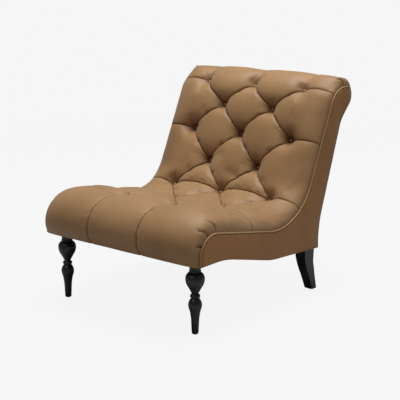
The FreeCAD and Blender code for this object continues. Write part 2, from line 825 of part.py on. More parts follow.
# A rear leg is sawn to a sabre from the side and tapered from the front.
rear_leg_front = rear_leg_back - size("rear_leg_top_depth")
rear_foot_back = rear_leg_back + size("rear_leg_rake")
rear_foot_front = rear_foot_back - size("rear_leg_foot_depth")
SABRE_FRONT_SHARES = ((0.03, 0.80), (0.27, 0.56), (0.54, 0.375))
SABRE_BACK_SHARES = ((0.03, 0.67), (0.28, 0.50), (0.52, 0.32))


def sabre_edges(top, foot, shares):
    """A line, an arc and a line from the top of the leg to its foot."""
    knee = [Vector(0, top.y + (foot.y - top.y) * across, top.z * height) for across, height in shares]
    return [Part.LineSegment(top, knee[0]), Part.Arc(*knee), Part.LineSegment(knee[2], foot)]


def rear_leg(side):
    label = "rear_leg_" + SIDE_NAMES[side]
    back_run = tail_run + size("rear_leg_inset")
    back_top = spot(back_run, -bottom_tuck)[0]
    front_top = spot(back_run + size("rear_leg_top_depth"), -bottom_tuck)[0]
    front_edges = sabre_edges(front_top, Vector(0, rear_foot_front, size("glide_height")),
                              SABRE_FRONT_SHARES)
    back_edges = sabre_edges(back_top, Vector(0, rear_foot_back, size("glide_height")),
                             SABRE_BACK_SHARES)
    loop = closed_loop([front_edges, backwards(back_edges)])
    outer = "(dims.body_width / 2 - dims.rear_leg_side_inset)"
    place = "%s - dims.rear_leg_top_width" % outer if side > 0 else "-" + outer
    sabre = side_body(label + "_sabre", loop, "dims.rear_leg_top_width", place)
    top_z = front_top.z
    inner_x = rear_leg_outer - size("rear_leg_top_width")
    corners = [Vector(side * x, rear_leg_front - size("overrun"), z) for x, z in (
        (inner_x, top_z), (rear_leg_outer, top_z),
        (inner_x + size("rear_leg_foot_width"), 0), (inner_x, 0))]
    face = Part.Face(Part.makePolygon(corners + corners[:1]))
    reach = rear_foot_back - rear_leg_front + 2 * size("overrun")
    taper = named(label + "_taper", face.extrude(Vector(0, reach, 0)))
    leg = doc.addObject("Part::Common", label + "_blank")
    leg.Base = sabre
    leg.Tool = taper
    return drilled(label, leg, [hanger_bolt("rear", side, bolt_clearance)])


rear_glide_x = rear_leg_outer - size("rear_leg_top_width") + size("rear_leg_foot_width") / 2
rear_glide_y = (rear_foot_front + rear_foot_back) / 2
for end, side in CORNERS:
    if end == "front":
        front_leg(side)
        foot = (side * front_leg_x, front_leg_y)
    else:
        rear_leg(side)
        foot = (side * rear_glide_x, rear_glide_y)
    glide = doc.addObject("Part::Cylinder", "glide_%s_%s" % (end, SIDE_NAMES[side]))
    glide.setExpression("Radius", "dims.glide_radius")
    glide.setExpression("Height", "dims.glide_height")
    glide.Placement.Base = Vector(*foot, 0)


# Stretched layers over the gable edges: cross straps, lengthwise straps above them, hessian.
def strip(loop, x, width):
    """A profile given its width, centred on X."""
    face = Part.Face(Part.Wire([edge.toShape() for edge in loop]))
    face.translate(Vector(x - width / 2, 0, 0))
    return face.extrude(Vector(width, 0, 0))


webbing_width = size("webbing_width")
cross_middles = [(first + second) / 2 for first, second in zip(row_runs, row_runs[1:])]
cross_middles.append((nose_rail_end + row_runs[7] - size("washer_radius")) / 2)
cross_length = 2 * (gable_outer - size("strap_end"))
cross_straps = []
for middle in cross_middles:
    loop = band(middle - webbing_width / 2, middle + webbing_width / 2,
                -cross_top, -cross_top - size("webbing_thick"))
    cross_straps.append(strip(loop, 0, cross_length))
grouped("cross_webbing", cross_straps)

STRAP_COLUMN_SHARES = (-1.25, -0.75, -0.25, 0.25, 0.75, 1.25)


def lengthwise_straps(start, end):
    loop = band(start, end, -strap_top, -strap_top - size("webbing_thick"))
    return [strip(loop, pitch * share, webbing_width) for share in STRAP_COLUMN_SHARES]


grouped("seat_webbing", lengthwise_straps(size("nose_rail_run"), seat_rail_run + cross_width))
grouped("back_webbing", lengthwise_straps(waist_rail_run, top_rail_run + cross_width))

# Buttons, the twine that pulls each one down, and the washer that holds it under the hessian.
washer_top = hessian_top + size("hessian_thick") + 2 * soft_gap


def button_place(row, x):
    return spot(row_runs[row], row_lifts[row] + size("button_stand"), x)


def twine(row, x, clearance=0.0):
    top, outward = button_place(row, x)
    length = row_lifts[row] + size("button_stand") + washer_top + size("washer_thick")
    return rod(size("twine_radius") + clearance, length, top, -outward)


def button_taper(row, x, clearance=0.0):
    """A button below its dome; clearance makes the room it takes in the leather."""
    base, outward = button_place(row, x)
    radius = size("button_radius") + clearance
    taper = Part.makeCone(size("button_stem_radius") + clearance, radius, size("button_taper"),
                          base, outward)
    return taper.fuse(rod(radius, size("button_rim"), base + outward * size("button_taper"), outward))


def button_room(row, x):
    """The room that a button takes in the leather and the foam, up past its rim."""
    base, outward = button_place(row, x)
    mouth = rod(size("button_radius") + soft_gap, size("button_rim") + size("button_dome"),
                base + outward * size("button_taper"), outward)
    return button_taper(row, x, soft_gap).fuse(mouth)


def button(row, x):
    """A covered button: tapered below to lie in its pleats, with a domed top."""
    base, outward = button_place(row, x)
    radius = size("button_radius")
    dome_radius = (radius ** 2 + size("button_dome") ** 2) / (2 * size("button_dome"))
    dome_base = base + outward * (size("button_taper") + size("button_rim"))
    ball = Part.makeSphere(dome_radius, dome_base - outward * (dome_radius - size("button_dome")))
    dome = ball.common(rod(radius, size("button_dome") * 2, dome_base, outward))
    return button_taper(row, x).fuse(dome).removeSplitter()


def washer(row, x):
    point, outward = spot(row_runs[row], -washer_top, x)
    disc = rod(size("washer_radius"), size("washer_thick"), point, -outward)
    return disc.cut(twine(row, x, size("twine_clearance")))


grouped("back_buttons", [button(row, x) for row, x in BUTTONS if row <= CREASE])
grouped("seat_buttons", [button(row, x) for row, x in BUTTONS if row > CREASE])
grouped("button_twines", [twine(row, x) for row, x in BUTTONS])
grouped("twine_washers", [washer(row, x) for row, x in BUTTONS])


def twine_bores(rows):
    return [twine(row, x, size("twine_clearance")) for row, x in BUTTONS if row in rows]


ALL_ROWS = range(len(row_runs))
BACK_ROWS = ALL_ROWS[:CREASE + 1]
SEAT_ROWS = ALL_ROWS[CREASE:]
LAYER_WIDTH = "2 * (%s - dims.strap_end)" % GABLE_OUTER
hessian_sheet = side_body("deck_hessian_sheet", band(bottom_tuck, scroll_end, -hessian_top,
                                                     -hessian_top - size("hessian_thick")), LAYER_WIDTH)
drilled("deck_hessian", hessian_sheet, twine_bores(ALL_ROWS))

# Pads and the leather over them.
seat_end = row_runs[CREASE] - soft_gap / 2
back_start = row_runs[CREASE] + soft_gap / 2
pad_sink = leather + soft_gap
tufted = {
    "seat_pad": (seat_section, pad_sink, pad_floor(0, seat_end), SEAT_ROWS),
    "back_pad": (back_section, pad_sink, pad_floor(back_start, scroll_end), BACK_ROWS),
    "seat_cover": (seat_section, 0, cover_floor, SEAT_ROWS),
    "back_cover": (back_section, 0, cover_floor, BACK_ROWS),
}
for label, (section_at, sink, floor_at, rows) in tufted.items():
    bores = twine_bores(rows) + [button_room(row, x) for row, x in BUTTONS if row in rows]
    drilled(label, named(label + "_blank", lofted(section_at, sink, floor_at)), bores)

# The outside back, its wadding, the side panels, the welts and the cambric.
BACK_WIDTH = "2 * " + GABLE_OUTER
rear_start = scroll_end + soft_gap
side_body("rear_cover", band(rear_start, tail_run, 0, -leather), BACK_WIDTH)
wadding_lift = -leather - soft_gap
side_body("rear_wadding", band(rear_start, tail_run - 2 * bottom_tuck, wadding_lift,
                               wadding_lift - size("wadding_thick")), BACK_WIDTH)
panel_inset = size("welt_radius") + soft_gap

cover_loop = panel_loop(-panel_inset, -panel_inset, 0)
side_body("side_cover_right", cover_loop, "dims.leather", "dims.body_width / 2 - dims.leather")
side_body("side_cover_left", cover_loop, "dims.leather", "-dims.body_width / 2")
WADDING_OUTER = "(dims.body_width / 2 - dims.leather - dims.soft_gap)"
wadding_loop = panel_loop(-panel_inset, -panel_inset, -bottom_tuck)
side_body("side_wadding_right", wadding_loop, "dims.wadding_thick",
          WADDING_OUTER + " - dims.wadding_thick")
side_body("side_wadding_left", wadding_loop, "dims.wadding_thick", "-" + WADDING_OUTER)


def welt(side):
    """Piping along the edge of a side panel, from the front hem over the scroll to the tail."""
    spine = Part.Wire([edge.toShape() for edge in run_edges(0, tail_run, 0, side * welt_x)])
    ring = Part.Wire(Part.makeCircle(size("welt_radius"), Vector(side * welt_x, panel_front,
                                     size("front_underside")), Vector(0, 0, 1)))
    return spine.makePipeShell([ring], True, False)


for side in (-1, 1):
    named("welt_" + SIDE_NAMES[side], welt(side))

cambric_outer = -(bottom_tuck - soft_gap - size("cambric_thick"))
cambric = side_body("cambric_sheet", band(tail_run + size("cambric_margin"),
                                          RUN_END - size("cambric_margin"), cambric_outer,
                                          cambric_outer - size("cambric_thick")),
                    "2 * (%s - dims.cambric_margin)" % GABLE_OUTER)


def leg_opening(end, side):
    """Room in the cambric for a leg's top."""
    room = size("leg_clearance")
    if end == "front":
        base = Vector(side * front_leg_x, front_leg_y, size("front_underside") - size("overrun"))
        return rod(size("collar_radius") + room, 2 * size("overrun"), base, Vector(0, 0, 1))
    width = size("rear_leg_top_width") + 2 * room
    depth = size("rear_leg_top_depth") + 2 * room
    middle_x = side * (rear_leg_outer - size("rear_leg_top_width") / 2)
    corner = Vector(middle_x - width / 2, rear_leg_front - room, tail.z - size("overrun"))
    return Part.makeBox(width, depth, 3 * size("overrun"), corner)


drilled("dust_cover", cambric, [leg_opening(end, side) for end, side in CORNERS])

doc.recompute()
for thing in doc.Objects:
    if "Invalid" in thing.State or "Error" in thing.State:
        raise RuntimeError("%s failed: %s" % (thing.Name, thing.State))

NODES = [
    "gable_left", "gable_right", "front_rail", "nose_rail", "seat_rail", "waist_rail", "top_rail",
    "rear_rail", "scroll_roller", "frame_screws", "corner_block_front_left", "corner_block_front_right",
    "corner_block_rear_left", "corner_block_rear_right", "hanger_bolts", "tee_nuts",
    "front_leg_left", "front_leg_right", "rear_leg_left", "rear_leg_right", "glide_front_left",
    "glide_front_right", "glide_rear_left", "glide_rear_right", "cross_webbing", "seat_webbing",
    "back_webbing", "deck_hessian", "seat_pad", "back_pad", "seat_cover", "back_cover",
    "back_buttons", "seat_buttons", "button_twines", "twine_washers", "side_wadding_left",
    "side_wadding_right", "side_cover_left", "side_cover_right", "rear_wadding", "rear_cover",
    "welt_left", "welt_right", "dust_cover",
]
os.makedirs("parts", exist_ok=True)
whole = FreeCAD.BoundBox()
for node in NODES:
    (piece,) = doc.getObjectsByLabel(node)
    shape = piece.Shape
    if shape.isNull() or not shape.isValid():
        raise RuntimeError("%s has no valid shape" % node)
    shape.exportStep("parts/%s.step" % node)
    whole.add(shape.BoundBox)
    print("%-26s %3d solids %9.1f cm3" % (node, len(shape.Solids), shape.Volume / 1000))
print("whole: X %.1f to %.1f, Y %.1f to %.1f, Z %.1f to %.1f" % (
    whole.XMin, whole.XMax, whole.YMin, whole.YMax, whole.ZMin, whole.ZMax))
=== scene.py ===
# %% [markdown]
# # A deep-buttoned leather slipper chair
# The chair is a curled strip of upholstery between two flat sides. Its maker pulls twenty buttons
# down through thick foam, so the leather folds into pleats from button to button and puffs up
# between them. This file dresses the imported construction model: it never moves or resizes it.

# %%
import bisect
import math

import bmesh
import bpy
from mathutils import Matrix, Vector, noise


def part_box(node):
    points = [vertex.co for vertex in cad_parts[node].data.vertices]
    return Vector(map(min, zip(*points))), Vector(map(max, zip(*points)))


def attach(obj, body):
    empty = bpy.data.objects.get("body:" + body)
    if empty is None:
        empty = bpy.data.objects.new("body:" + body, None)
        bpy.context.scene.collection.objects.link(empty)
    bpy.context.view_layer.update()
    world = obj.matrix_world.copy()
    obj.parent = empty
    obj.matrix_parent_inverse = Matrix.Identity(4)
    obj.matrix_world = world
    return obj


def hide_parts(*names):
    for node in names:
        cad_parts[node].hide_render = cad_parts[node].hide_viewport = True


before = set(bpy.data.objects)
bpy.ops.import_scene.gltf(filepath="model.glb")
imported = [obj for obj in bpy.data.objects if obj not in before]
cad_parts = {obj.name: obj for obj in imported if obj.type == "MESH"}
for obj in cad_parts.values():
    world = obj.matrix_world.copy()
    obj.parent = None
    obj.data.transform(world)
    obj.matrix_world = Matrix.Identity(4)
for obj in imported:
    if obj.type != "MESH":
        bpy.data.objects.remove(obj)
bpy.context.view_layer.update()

# %% [markdown]
# ## The camera
# The photograph was taken from the chair's front right, a little above the seat, with a long lens.
# The camera is made first, so that every later step can be judged through it. Its shift lowers the
# picture's middle without tilting the camera, which keeps upright lines upright.

# %%
CAMERA_TARGET = Vector((0, -0.0061, 0.480))
CAMERA_WAY = Vector((0.62777, -0.75345, 0.19543))
CAMERA_DISTANCE = 3.992
CAMERA_LENS = 95.04
CAMERA_SENSOR = 36
CAMERA_SHIFT = (0.003, -0.084)


def new_object(name, data):
    """An object in the scene that shows the data."""
    shown = bpy.data.objects.new(name, data)
    bpy.context.scene.collection.objects.link(shown)
    return shown


def add_camera():
    data = bpy.data.cameras.new("camera")
    data.lens = CAMERA_LENS
    data.sensor_width = CAMERA_SENSOR
    data.shift_x, data.shift_y = CAMERA_SHIFT
    camera = new_object("camera", data)
    camera.location = CAMERA_TARGET + CAMERA_WAY * CAMERA_DISTANCE
    camera.rotation_euler = CAMERA_WAY.to_track_quat("Z", "Y").to_euler()
    bpy.context.scene.camera = camera
    return camera


print("camera at", [round(c, 3) for c in add_camera().location])

# %% [markdown]
# ## The side profile
# Everything on this chair follows one profile: up the front, along the seat, up the back, over the
# scroll and down behind. The welt runs exactly along it, so the welt's box gives its reach. A place
# on the chair is then a run along the profile, a lift square to it, and X across the chair.

# %%
welt_low, welt_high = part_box("welt_right")
WELT_RADIUS = (welt_high.x - welt_low.x) / 2
WELT_X = (welt_high.x + welt_low.x) / 2
HALF_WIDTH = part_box("side_cover_right")[1].x
PAD_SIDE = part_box("seat_cover")[1].x
PANEL_FRONT = welt_low.y + WELT_RADIUS
PANEL_DEPTH = welt_high.y - WELT_RADIUS - PANEL_FRONT
PANEL_TOP = welt_high.z - WELT_RADIUS
SEAT_FRONT_HEIGHT = 0.368
SEAT_BACK_HEIGHT = 0.263
FRONT_UNDERSIDE = 0.252
REAR_UNDERSIDE = 0.174
OUTLINE = [  # share of the depth, height, rounding radius
    (0.000, FRONT_UNDERSIDE, 0),
    (0.000, SEAT_FRONT_HEIGHT, 0.075),
    (0.630, SEAT_BACK_HEIGHT, 0.235),
    (0.886, PANEL_TOP, 0.088),
    (1.000, PANEL_TOP, 0.028),
    (1.000, 0.9325 * PANEL_TOP, 0.035),
    (0.9236, 0.843 * PANEL_TOP, 0.120),
    (0.7685, 0.340 * PANEL_TOP, 0.350),
    (0.7685, REAR_UNDERSIDE, 0),
    (0.4374, REAR_UNDERSIDE + 0.027 * (PANEL_TOP - REAR_UNDERSIDE), 0.400),
    (0.1417, FRONT_UNDERSIDE + 0.004 * (PANEL_TOP - FRONT_UNDERSIDE), 0.400),
]
NOSE_CORNER = 5
TAIL_CORNER = 8
ROUNDING = 1e-9
HAIR = 1e-6


def rounded_spans():
    """Straight and curved spans round the profile: run, length, start, way, bend, corner."""
    points = [Vector((PANEL_FRONT + share * PANEL_DEPTH, height)) for share, height, _ in OUTLINE]
    count = len(points)
    edges = [points[(k + 1) % count] - points[k] for k in range(count)]
    ways = [edge.normalized() for edge in edges]
    lengths = [edge.length for edge in edges]
    turns = [math.atan2(ways[k - 1].x * ways[k].y - ways[k - 1].y * ways[k].x,
                        ways[k - 1].dot(ways[k])) for k in range(count)]
    cuts = [OUTLINE[k][2] * math.tan(abs(turns[k]) / 2) for k in range(count)]
    keeps = [1.0] * count
    for k in range(count):
        after = (k + 1) % count
        spent = cuts[k] + cuts[after]
        if spent > lengths[k]:
            keeps[k] = min(keeps[k], lengths[k] / spent)
            keeps[after] = min(keeps[after], lengths[k] / spent)
    cuts = [cut * keep for cut, keep in zip(cuts, keeps)]
    spans = []
    run = 0.0
    for k in range(count):
        after = (k + 1) % count
        straight = lengths[k] - cuts[k] - cuts[after]
        spans.append((run, straight, points[k] + ways[k] * cuts[k], ways[k], 0.0, None))
        run += straight
        radius = OUTLINE[after][2] * keeps[after]
        bend = math.copysign(1 / radius, turns[after]) if radius else 0.0
        curved = radius * abs(turns[after])
        spans.append((run, curved, points[after] - ways[k] * cuts[after], ways[k], bend, after))
        run += curved
    return spans


SPANS = rounded_spans()
SPAN_RUNS = [span[0] for span in SPANS]


def corner_run(corner):
    """The run at which the profile has passed a corner."""
    return [run + length for run, length, _, _, _, k in SPANS if k == corner][0]


def spot(run, lift=0.0, x=0.0):
    """The point at a run along the profile, lifted square to it."""
    k = bisect.bisect_right(SPAN_RUNS, run + ROUNDING) - 1
    while SPANS[k][1] <= 0:
        k -= 1
    start_run, length, start, way, bend, _ = SPANS[k]
    along = run - start_run
    outward = Vector((-way.y, way.x))
    if bend:
        turn = along * bend
        point = start + outward * ((1 - math.cos(turn)) / bend) + way * (math.sin(turn) / bend)
        outward = outward * math.cos(turn) - way * math.sin(turn)
    else:
        point = start + way * along
    return Vector((x, point.x + outward.x * lift, point.y + outward.y * lift))


def outward_at(run):
    """The way square to the profile at a run."""
    return spot(run, 1.0) - spot(run)


SCROLL_END = corner_run(NOSE_CORNER)
TAIL_RUN = corner_run(TAIL_CORNER)
BACK_END = TAIL_RUN - HAIR
RUN_END = SPANS[-1][0] + SPANS[-1][1]
print("runs: scroll end %.4f, tail %.4f, all %.4f" % (SCROLL_END, TAIL_RUN, RUN_END))

# %% [markdown]
# ## Small helpers
# A finished piece sits at the origin with its place in its mesh, rides on the chair's one body, and
# hides the nodes that it stands for. One function does that for every piece. The leather is made as
# sheets, so two more functions make a sheet and give it its thickness.

# %%
def new_mesh(name, bm):
    mesh = bpy.data.meshes.new(name)
    bm.to_mesh(mesh)
    bm.free()
    return mesh


def add_piece(name, bm, material, slot, *nodes):
    bmesh.ops.recalc_face_normals(bm, faces=bm.faces[:])
    mesh = new_mesh(name, bm)
    for face in mesh.polygons:
        face.use_smooth = True
    piece = new_object(name, mesh)
    mesh.materials.append(material)
    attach(piece, "root")
    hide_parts(*nodes)
    print("%-20s %7d faces" % (name, len(mesh.polygons)))
    return piece


def grid(columns_count, rows_count):
    """A flat grid, one unit wide, and the column and row of each of its vertices."""
    bm = bmesh.new()
    bmesh.ops.create_grid(bm, x_segments=columns_count - 1, y_segments=rows_count - 1, size=0.5)
    keys = [(round((vert.co.x + 0.5) * (columns_count - 1)), round((vert.co.y + 0.5) * (rows_count - 1)))
            for vert in bm.verts]
    return bm, keys


def thicken(bm, inner_place):
    """Close a sheet into a body: a copy of each of its vertices goes to its inner place."""
    grown = bmesh.ops.extrude_face_region(bm, geom=bm.faces[:], use_keep_orig=True)
    for item in grown["geom"]:
        if isinstance(item, bmesh.types.BMVert):
            item.co = inner_place(item)


# %% [markdown]
# ## Leather
# Finished leather is a warm base colour with a little sheen under a trace of wax. Three scales of
# detail make it: slow drifts of colour from the hide, small wrinkles where it was pulled, and a
# pebbled grain one or two millimetres across. Shade is painted into the colour along the shape: a
# float attribute of painted shade is 1 in the pits and pleats, which are painted dark, and 0 on the
# crowns.

# %%
MIX_FACTOR, MIX_FIRST, MIX_SECOND = 0, 6, 7  # inputs of the mix node when it mixes colours
MIX_RESULT = 2


def link(tree, source, target):
    tree.links.new(source, target)


def new_node(tree, kind, **values):
    """A node with some of its inputs set."""
    node = tree.nodes.new("ShaderNode" + kind)
    for socket, value in values.items():
        node.inputs[socket].default_value = value
    return node


def new_material(name, surface):
    """A material, its node tree and its shader with the surface's values."""
    material = bpy.data.materials.new(name)
    material.use_nodes = True
    shader = material.node_tree.nodes["Principled BSDF"]
    for socket, value in surface.items():
        shader.inputs[socket].default_value = value
    return material, material.node_tree, shader


def object_place(tree):
    return new_node(tree, "TexCoord").outputs["Object"]


def noise_texture(tree, scale, detail, roughness=0.5, stretch=(1, 1, 1)):
    mapping = new_node(tree, "Mapping", Scale=stretch)
    texture = new_node(tree, "TexNoise", Scale=scale, Detail=detail, Roughness=roughness)
    link(tree, object_place(tree), mapping.inputs["Vector"])
    link(tree, mapping.outputs["Vector"], texture.inputs["Vector"])
    return texture.outputs["Fac"]


def voronoi_texture(tree, scale):
    texture = new_node(tree, "TexVoronoi", Scale=scale)
    link(tree, object_place(tree), texture.inputs["Vector"])
    return texture.outputs["Distance"]


def ramp(tree, factor, first, second, margin):
    """From one colour to another along a factor, each held over a margin at its end."""
    node = new_node(tree, "ValToRGB")
    for element, place, colour in zip(node.color_ramp.elements, (margin, 1 - margin), (first, second)):
        element.position = place
        element.color = (*colour, 1)
    link(tree, factor, node.inputs["Fac"])
    return node.outputs["Color"]


def grey(value):
    return (value, value, value)


def darkened(tree, factor, texture, colour):
    """A texture that turns into one colour as the factor goes from 0 to 1."""
    node = new_node(tree, "Mix")
    node.data_type = "RGBA"
    link(tree, factor, node.inputs[MIX_FACTOR])
    link(tree, texture, node.inputs[MIX_FIRST])
    node.inputs[MIX_SECOND].default_value = (*colour, 1)
    return node.outputs[MIX_RESULT]


def bumped(tree, shader, heights):
    """Stack bumps of (height socket, distance in metres, strength) onto the shader."""
    normal = None
    for height, distance, strength in heights:
        bump = new_node(tree, "Bump", Distance=distance, Strength=strength)
        link(tree, height, bump.inputs["Height"])
        if normal:
            link(tree, normal, bump.inputs["Normal"])
        normal = bump.outputs["Normal"]
    link(tree, normal, shader.inputs["Normal"])


GRAIN_SCALE = 620
WRINKLE_SCALE = 70
HIDE_SCALE = 4.5
POLISH_SCALE = 13.5
POLISHED = 0.05
WORN = 0.07
WRINKLE_BUMP = (0.0006, 0.35)
GRAIN_BUMP = (0.00012, 0.5)
LEATHER_SURFACE = {
    "Specular IOR Level": 0.22,
    "Sheen Weight": 0.12,
    "Sheen Roughness": 0.45,
    "Coat Weight": 0.015,
    "Coat Roughness": 0.38,
}


def leather(name, light, dark, roughness=0.50):
    """Leather whose colour drifts between two tones, with shade painted dark into its pits and pleats.
    """
    material, tree, shader = new_material(name, {"Roughness": roughness, **LEATHER_SURFACE})
    drift = noise_texture(tree, HIDE_SCALE, detail=4, roughness=0.6)
    hide = ramp(tree, drift, dark, light, margin=0.35)
    # Painted shade: this attribute darkens the colour where shade falls in pits, pleats and folds.
    painted_shade = new_node(tree, "Attribute")
    painted_shade.attribute_name = "painted_shade"
    link(tree, darkened(tree, painted_shade.outputs["Fac"], hide, TAN_PAINTED_SHADE), shader.inputs["Base Color"])
    polish = ramp(tree, noise_texture(tree, POLISH_SCALE, detail=3),
                  grey(roughness - POLISHED), grey(roughness + WORN), margin=0.3)
    link(tree, polish, shader.inputs["Roughness"])
    bumped(tree, shader, [
        (noise_texture(tree, WRINKLE_SCALE, detail=3, roughness=0.55), *WRINKLE_BUMP),
        (voronoi_texture(tree, GRAIN_SCALE), *GRAIN_BUMP),
    ])
    return material


TAN_LIGHT = (0.304, 0.177, 0.083)
TAN_DARK = (0.252, 0.142, 0.062)
# The dark colour that is painted in as shade in the pits and pleats.
TAN_PAINTED_SHADE = (0.095, 0.039, 0.014)
# The sides and the outside back are the same leather, painted a more saturated orange, as it looks in
# shade.
PANEL_SHADED_LIGHT = (0.350, 0.160, 0.050)
PANEL_SHADED_DARK = (0.297, 0.133, 0.039)
tan_leather = leather("tan_leather", TAN_LIGHT, TAN_DARK)
shaded_panel_leather = leather("shaded_panel_leather", PANEL_SHADED_LIGHT, PANEL_SHADED_DARK)
print("leather:", tan_leather.name)

# %% [markdown]
# ## The button rows
# The buttons stand in rows that alternate between three and two, a hand's breadth apart. Rows are
# numbered from the top of the back down to the front of the seat. Each has its run along the
# profile, the height of the foam's crown there, and the height to which its buttons are pulled.

# %%
ROW_RUNS = [SCROLL_END * share for share in (0.870, 0.803, 0.717, 0.622, 0.515, 0.388, 0.278, 0.182)]
ROW_CROWNS = (0.0493, 0.0502, 0.0502, 0.0502, 0.0561, 0.0689, 0.0731, 0.0740)
ROW_PITS = (0.0050, 0.0009, -0.0077, -0.0077, 0.0085, 0.0264, 0.0306, 0.0306)
TOP_RUN = ROW_RUNS[0]
ROLL_RUN = ROW_RUNS[-1]
FRONT_ROW = len(ROW_RUNS) - 1
CREASE = 4
PITCH = 0.236
HALF_PITCH = PITCH / 2
COLUMNS = ((-PITCH, 0.0, PITCH), (-HALF_PITCH, HALF_PITCH))
BUTTONS = [(row, x) for row in range(FRONT_ROW + 1) for x in COLUMNS[row % 2]]
print("buttons:", len(BUTTONS))

# %% [markdown]
# ## Where the pleats run
# Between two buttons the spare leather is tucked into a pleat, so pleats zigzag across the chair
# from row to row. Past the last column a pleat runs straight out to the welt. The grid of the
# leather will have a line of its own along every pleat, so its edges lie exactly where the real
# leather folds, which no height map on a plain grid gives.

# %%
BUTTON_FLAT = 0.007
CREASE_ARCH = 0.012
FLAT_REACH_SHARE = 0.16
FLAT_LOSS = 0.9


def smooth_share(value):
    """0 to 1 with level ends."""
    value = min(1.0, max(0.0, value))
    return value * value * (3 - 2 * value)


def between(start, end, share):
    return start + (end - start) * share


def near(distance, reach):
    """1 at no distance, falling to 0 within about two reaches."""
    return math.exp(-(distance / reach) ** 2)


def pleat_way(x):
    """0 at the columns of the rows of three buttons, 1 at those of the rows of two."""
    return 0.0 if abs(x) >= PITCH else 1 - abs(abs(x) - HALF_PITCH) / HALF_PITCH


def side_way(x):
    """0 inside the outer buttons' column, 1 at the welt."""
    return max(0.0, (abs(x) - PITCH) / (PAD_SIDE - PITCH))


def pleat(x, row_of_three, row_of_two, side_of_three, side_of_two):
    """A pleat's run at X. A side of 1 or -1 keeps it clear of the button that it passes."""
    way = pleat_way(x)
    flat = BUTTON_FLAT / 2 * (1 - FLAT_LOSS * smooth_share(side_way(x) / FLAT_REACH_SHARE))
    start = ROW_RUNS[row_of_three] + side_of_three * flat
    end = ROW_RUNS[row_of_two] + side_of_two * flat
    return between(start, end, way)


def crease_at(x):
    """The crease between seat and back, arched between its buttons."""
    return ROW_RUNS[CREASE] + CREASE_ARCH * pleat_way(x)


print("a pleat beside the middle:", [round(pleat(x, 2, 3, -1, 1), 3) for x in (0, 0.06, HALF_PITCH)])

# %% [markdown]
# ## How deep the leather lies
# The foam has a smooth crown, and the leather lies below it by a depth that is greatest at the
# buttons and shallower along the pleats. Closeness says how much of that depth counts: 1 in a
# pleat, 0 in the middle of a pad. In a diamond between four buttons it is the product of two
# rounded walls, one for each pair of sides, which makes a pillow with no ridge along its middle.

# %%
PLEAT_DEPTH = 0.012
ROLL_DEPTH = 0.032
ROLL_BLEND_RUN = 0.03
SIDE_PLEAT_SHARE = 0.5
PIT_REACH = 0.082
PIT_POWER = 2.2
PILLOW_FLATNESS = 2.2
PILLOW_STEEPNESS = 0.60
FUNNEL_REACH = 0.026
EDGE_STAND = 0.0024
SEAT_CREST = 0.0730
HEM_STAND = 0.016
FRONT_SWELL_RUN = 0.0587
SEAT_SIDE_RADIUS = 0.105
BACK_SIDE_RADIUS = 0.118
SCROLL_SIDE_RADIUS = 0.014
SCROLL_SIDE_START = 0.010
SCROLL_SIDE_RUN = 0.055
SCROLL_DROOP = 0.008
SCROLL_FULLNESS = 2.5


def crown(run):
    """The foam's lift at a run: a smooth curve through the rows, then the roll or the scroll."""
    if run <= ROLL_RUN:
        return between(HEM_STAND, SEAT_CREST, 1 - math.exp(-run / FRONT_SWELL_RUN))
    if run >= TOP_RUN:
        share = (run - TOP_RUN) / (SCROLL_END - TOP_RUN)
        return between(EDGE_STAND, ROW_CROWNS[0], 1 - share ** SCROLL_FULLNESS)
    row = [k for k in range(FRONT_ROW) if ROW_RUNS[k + 1] <= run][0]
    t = (run - ROW_RUNS[row + 1]) / (ROW_RUNS[row] - ROW_RUNS[row + 1])
    p = [ROW_CROWNS[min(FRONT_ROW, max(0, k))] for k in (row + 2, row + 1, row, row - 1)]
    return p[1] + 0.5 * t * (p[2] - p[0] + t * (2 * p[0] - 5 * p[1] + 4 * p[2] - p[3]
                                               + t * (3 * (p[1] - p[2]) + p[3] - p[0])))


def depth(x, run):
    """How far a pleat lies below the crown: deepest at the buttons, and least near the welt."""
    pleat_depth = PLEAT_DEPTH * (1 - (1 - SIDE_PLEAT_SHARE) * smooth_share(side_way(x)))
    pleat_depth += (ROLL_DEPTH - PLEAT_DEPTH) * smooth_share((ROLL_RUN - run) / ROLL_BLEND_RUN + 0.5)
    deepest = 0.0
    for row, button_x in BUTTONS:
        reach = math.hypot(x - button_x, run - ROW_RUNS[row])
        if reach < PIT_REACH:
            pit = crown(ROW_RUNS[row]) - ROW_PITS[row] - PLEAT_DEPTH
            deepest = max(deepest, pit * (1 - reach / PIT_REACH) ** PIT_POWER)
    return pleat_depth + deepest


def button_reach(x, run):
    """The distance to the nearest button."""
    return min(math.hypot(x - button_x, run - ROW_RUNS[row]) for row, button_x in BUTTONS)


def wall(share):
    """A pillow's profile: 1 in the middle, falling steeply to 0 at a share of 1 or -1."""
    return (1 - min(1.0, abs(share)) ** PILLOW_FLATNESS) ** PILLOW_STEEPNESS


def pillow(along, side):
    """A pillow's fullness at a place in its diamond: the product of its two walls."""
    return wall(along + side) * wall(along - side)


def scroll_droop(x, run):
    """The scroll's crown falls a little towards its two ends."""
    over_top = smooth_share((run - ROW_RUNS[1]) / (TOP_RUN - ROW_RUNS[1]))
    return SCROLL_DROOP * over_top * smooth_share(side_way(x))


def back_side(run):
    """The rounding of the back's side edge, which tightens over the scroll."""
    share = smooth_share((run - TOP_RUN - SCROLL_SIDE_START) / SCROLL_SIDE_RUN)
    return between(BACK_SIDE_RADIUS, SCROLL_SIDE_RADIUS, share)


def edge_share(x, radius):
    """0 inside the rounded side edge, 1 at its end over the welt."""
    return min(1.0, max(0.0, abs(x) - (PAD_SIDE - radius)) / radius)


print("pillow across:", [round(wall(share), 2) for share in (0, 0.25, 0.5, 0.75, 0.9, 1)])

# %% [markdown]
# ## Pads between the pleats
# A cut is the leather's section at one X, and each stretch of it lies between two pleats. The share
# of the way between them and the place across the diamond give the closeness. A pad also hangs a
# little over the pleat below it, because the folds of real buttoning point down to keep dust out.

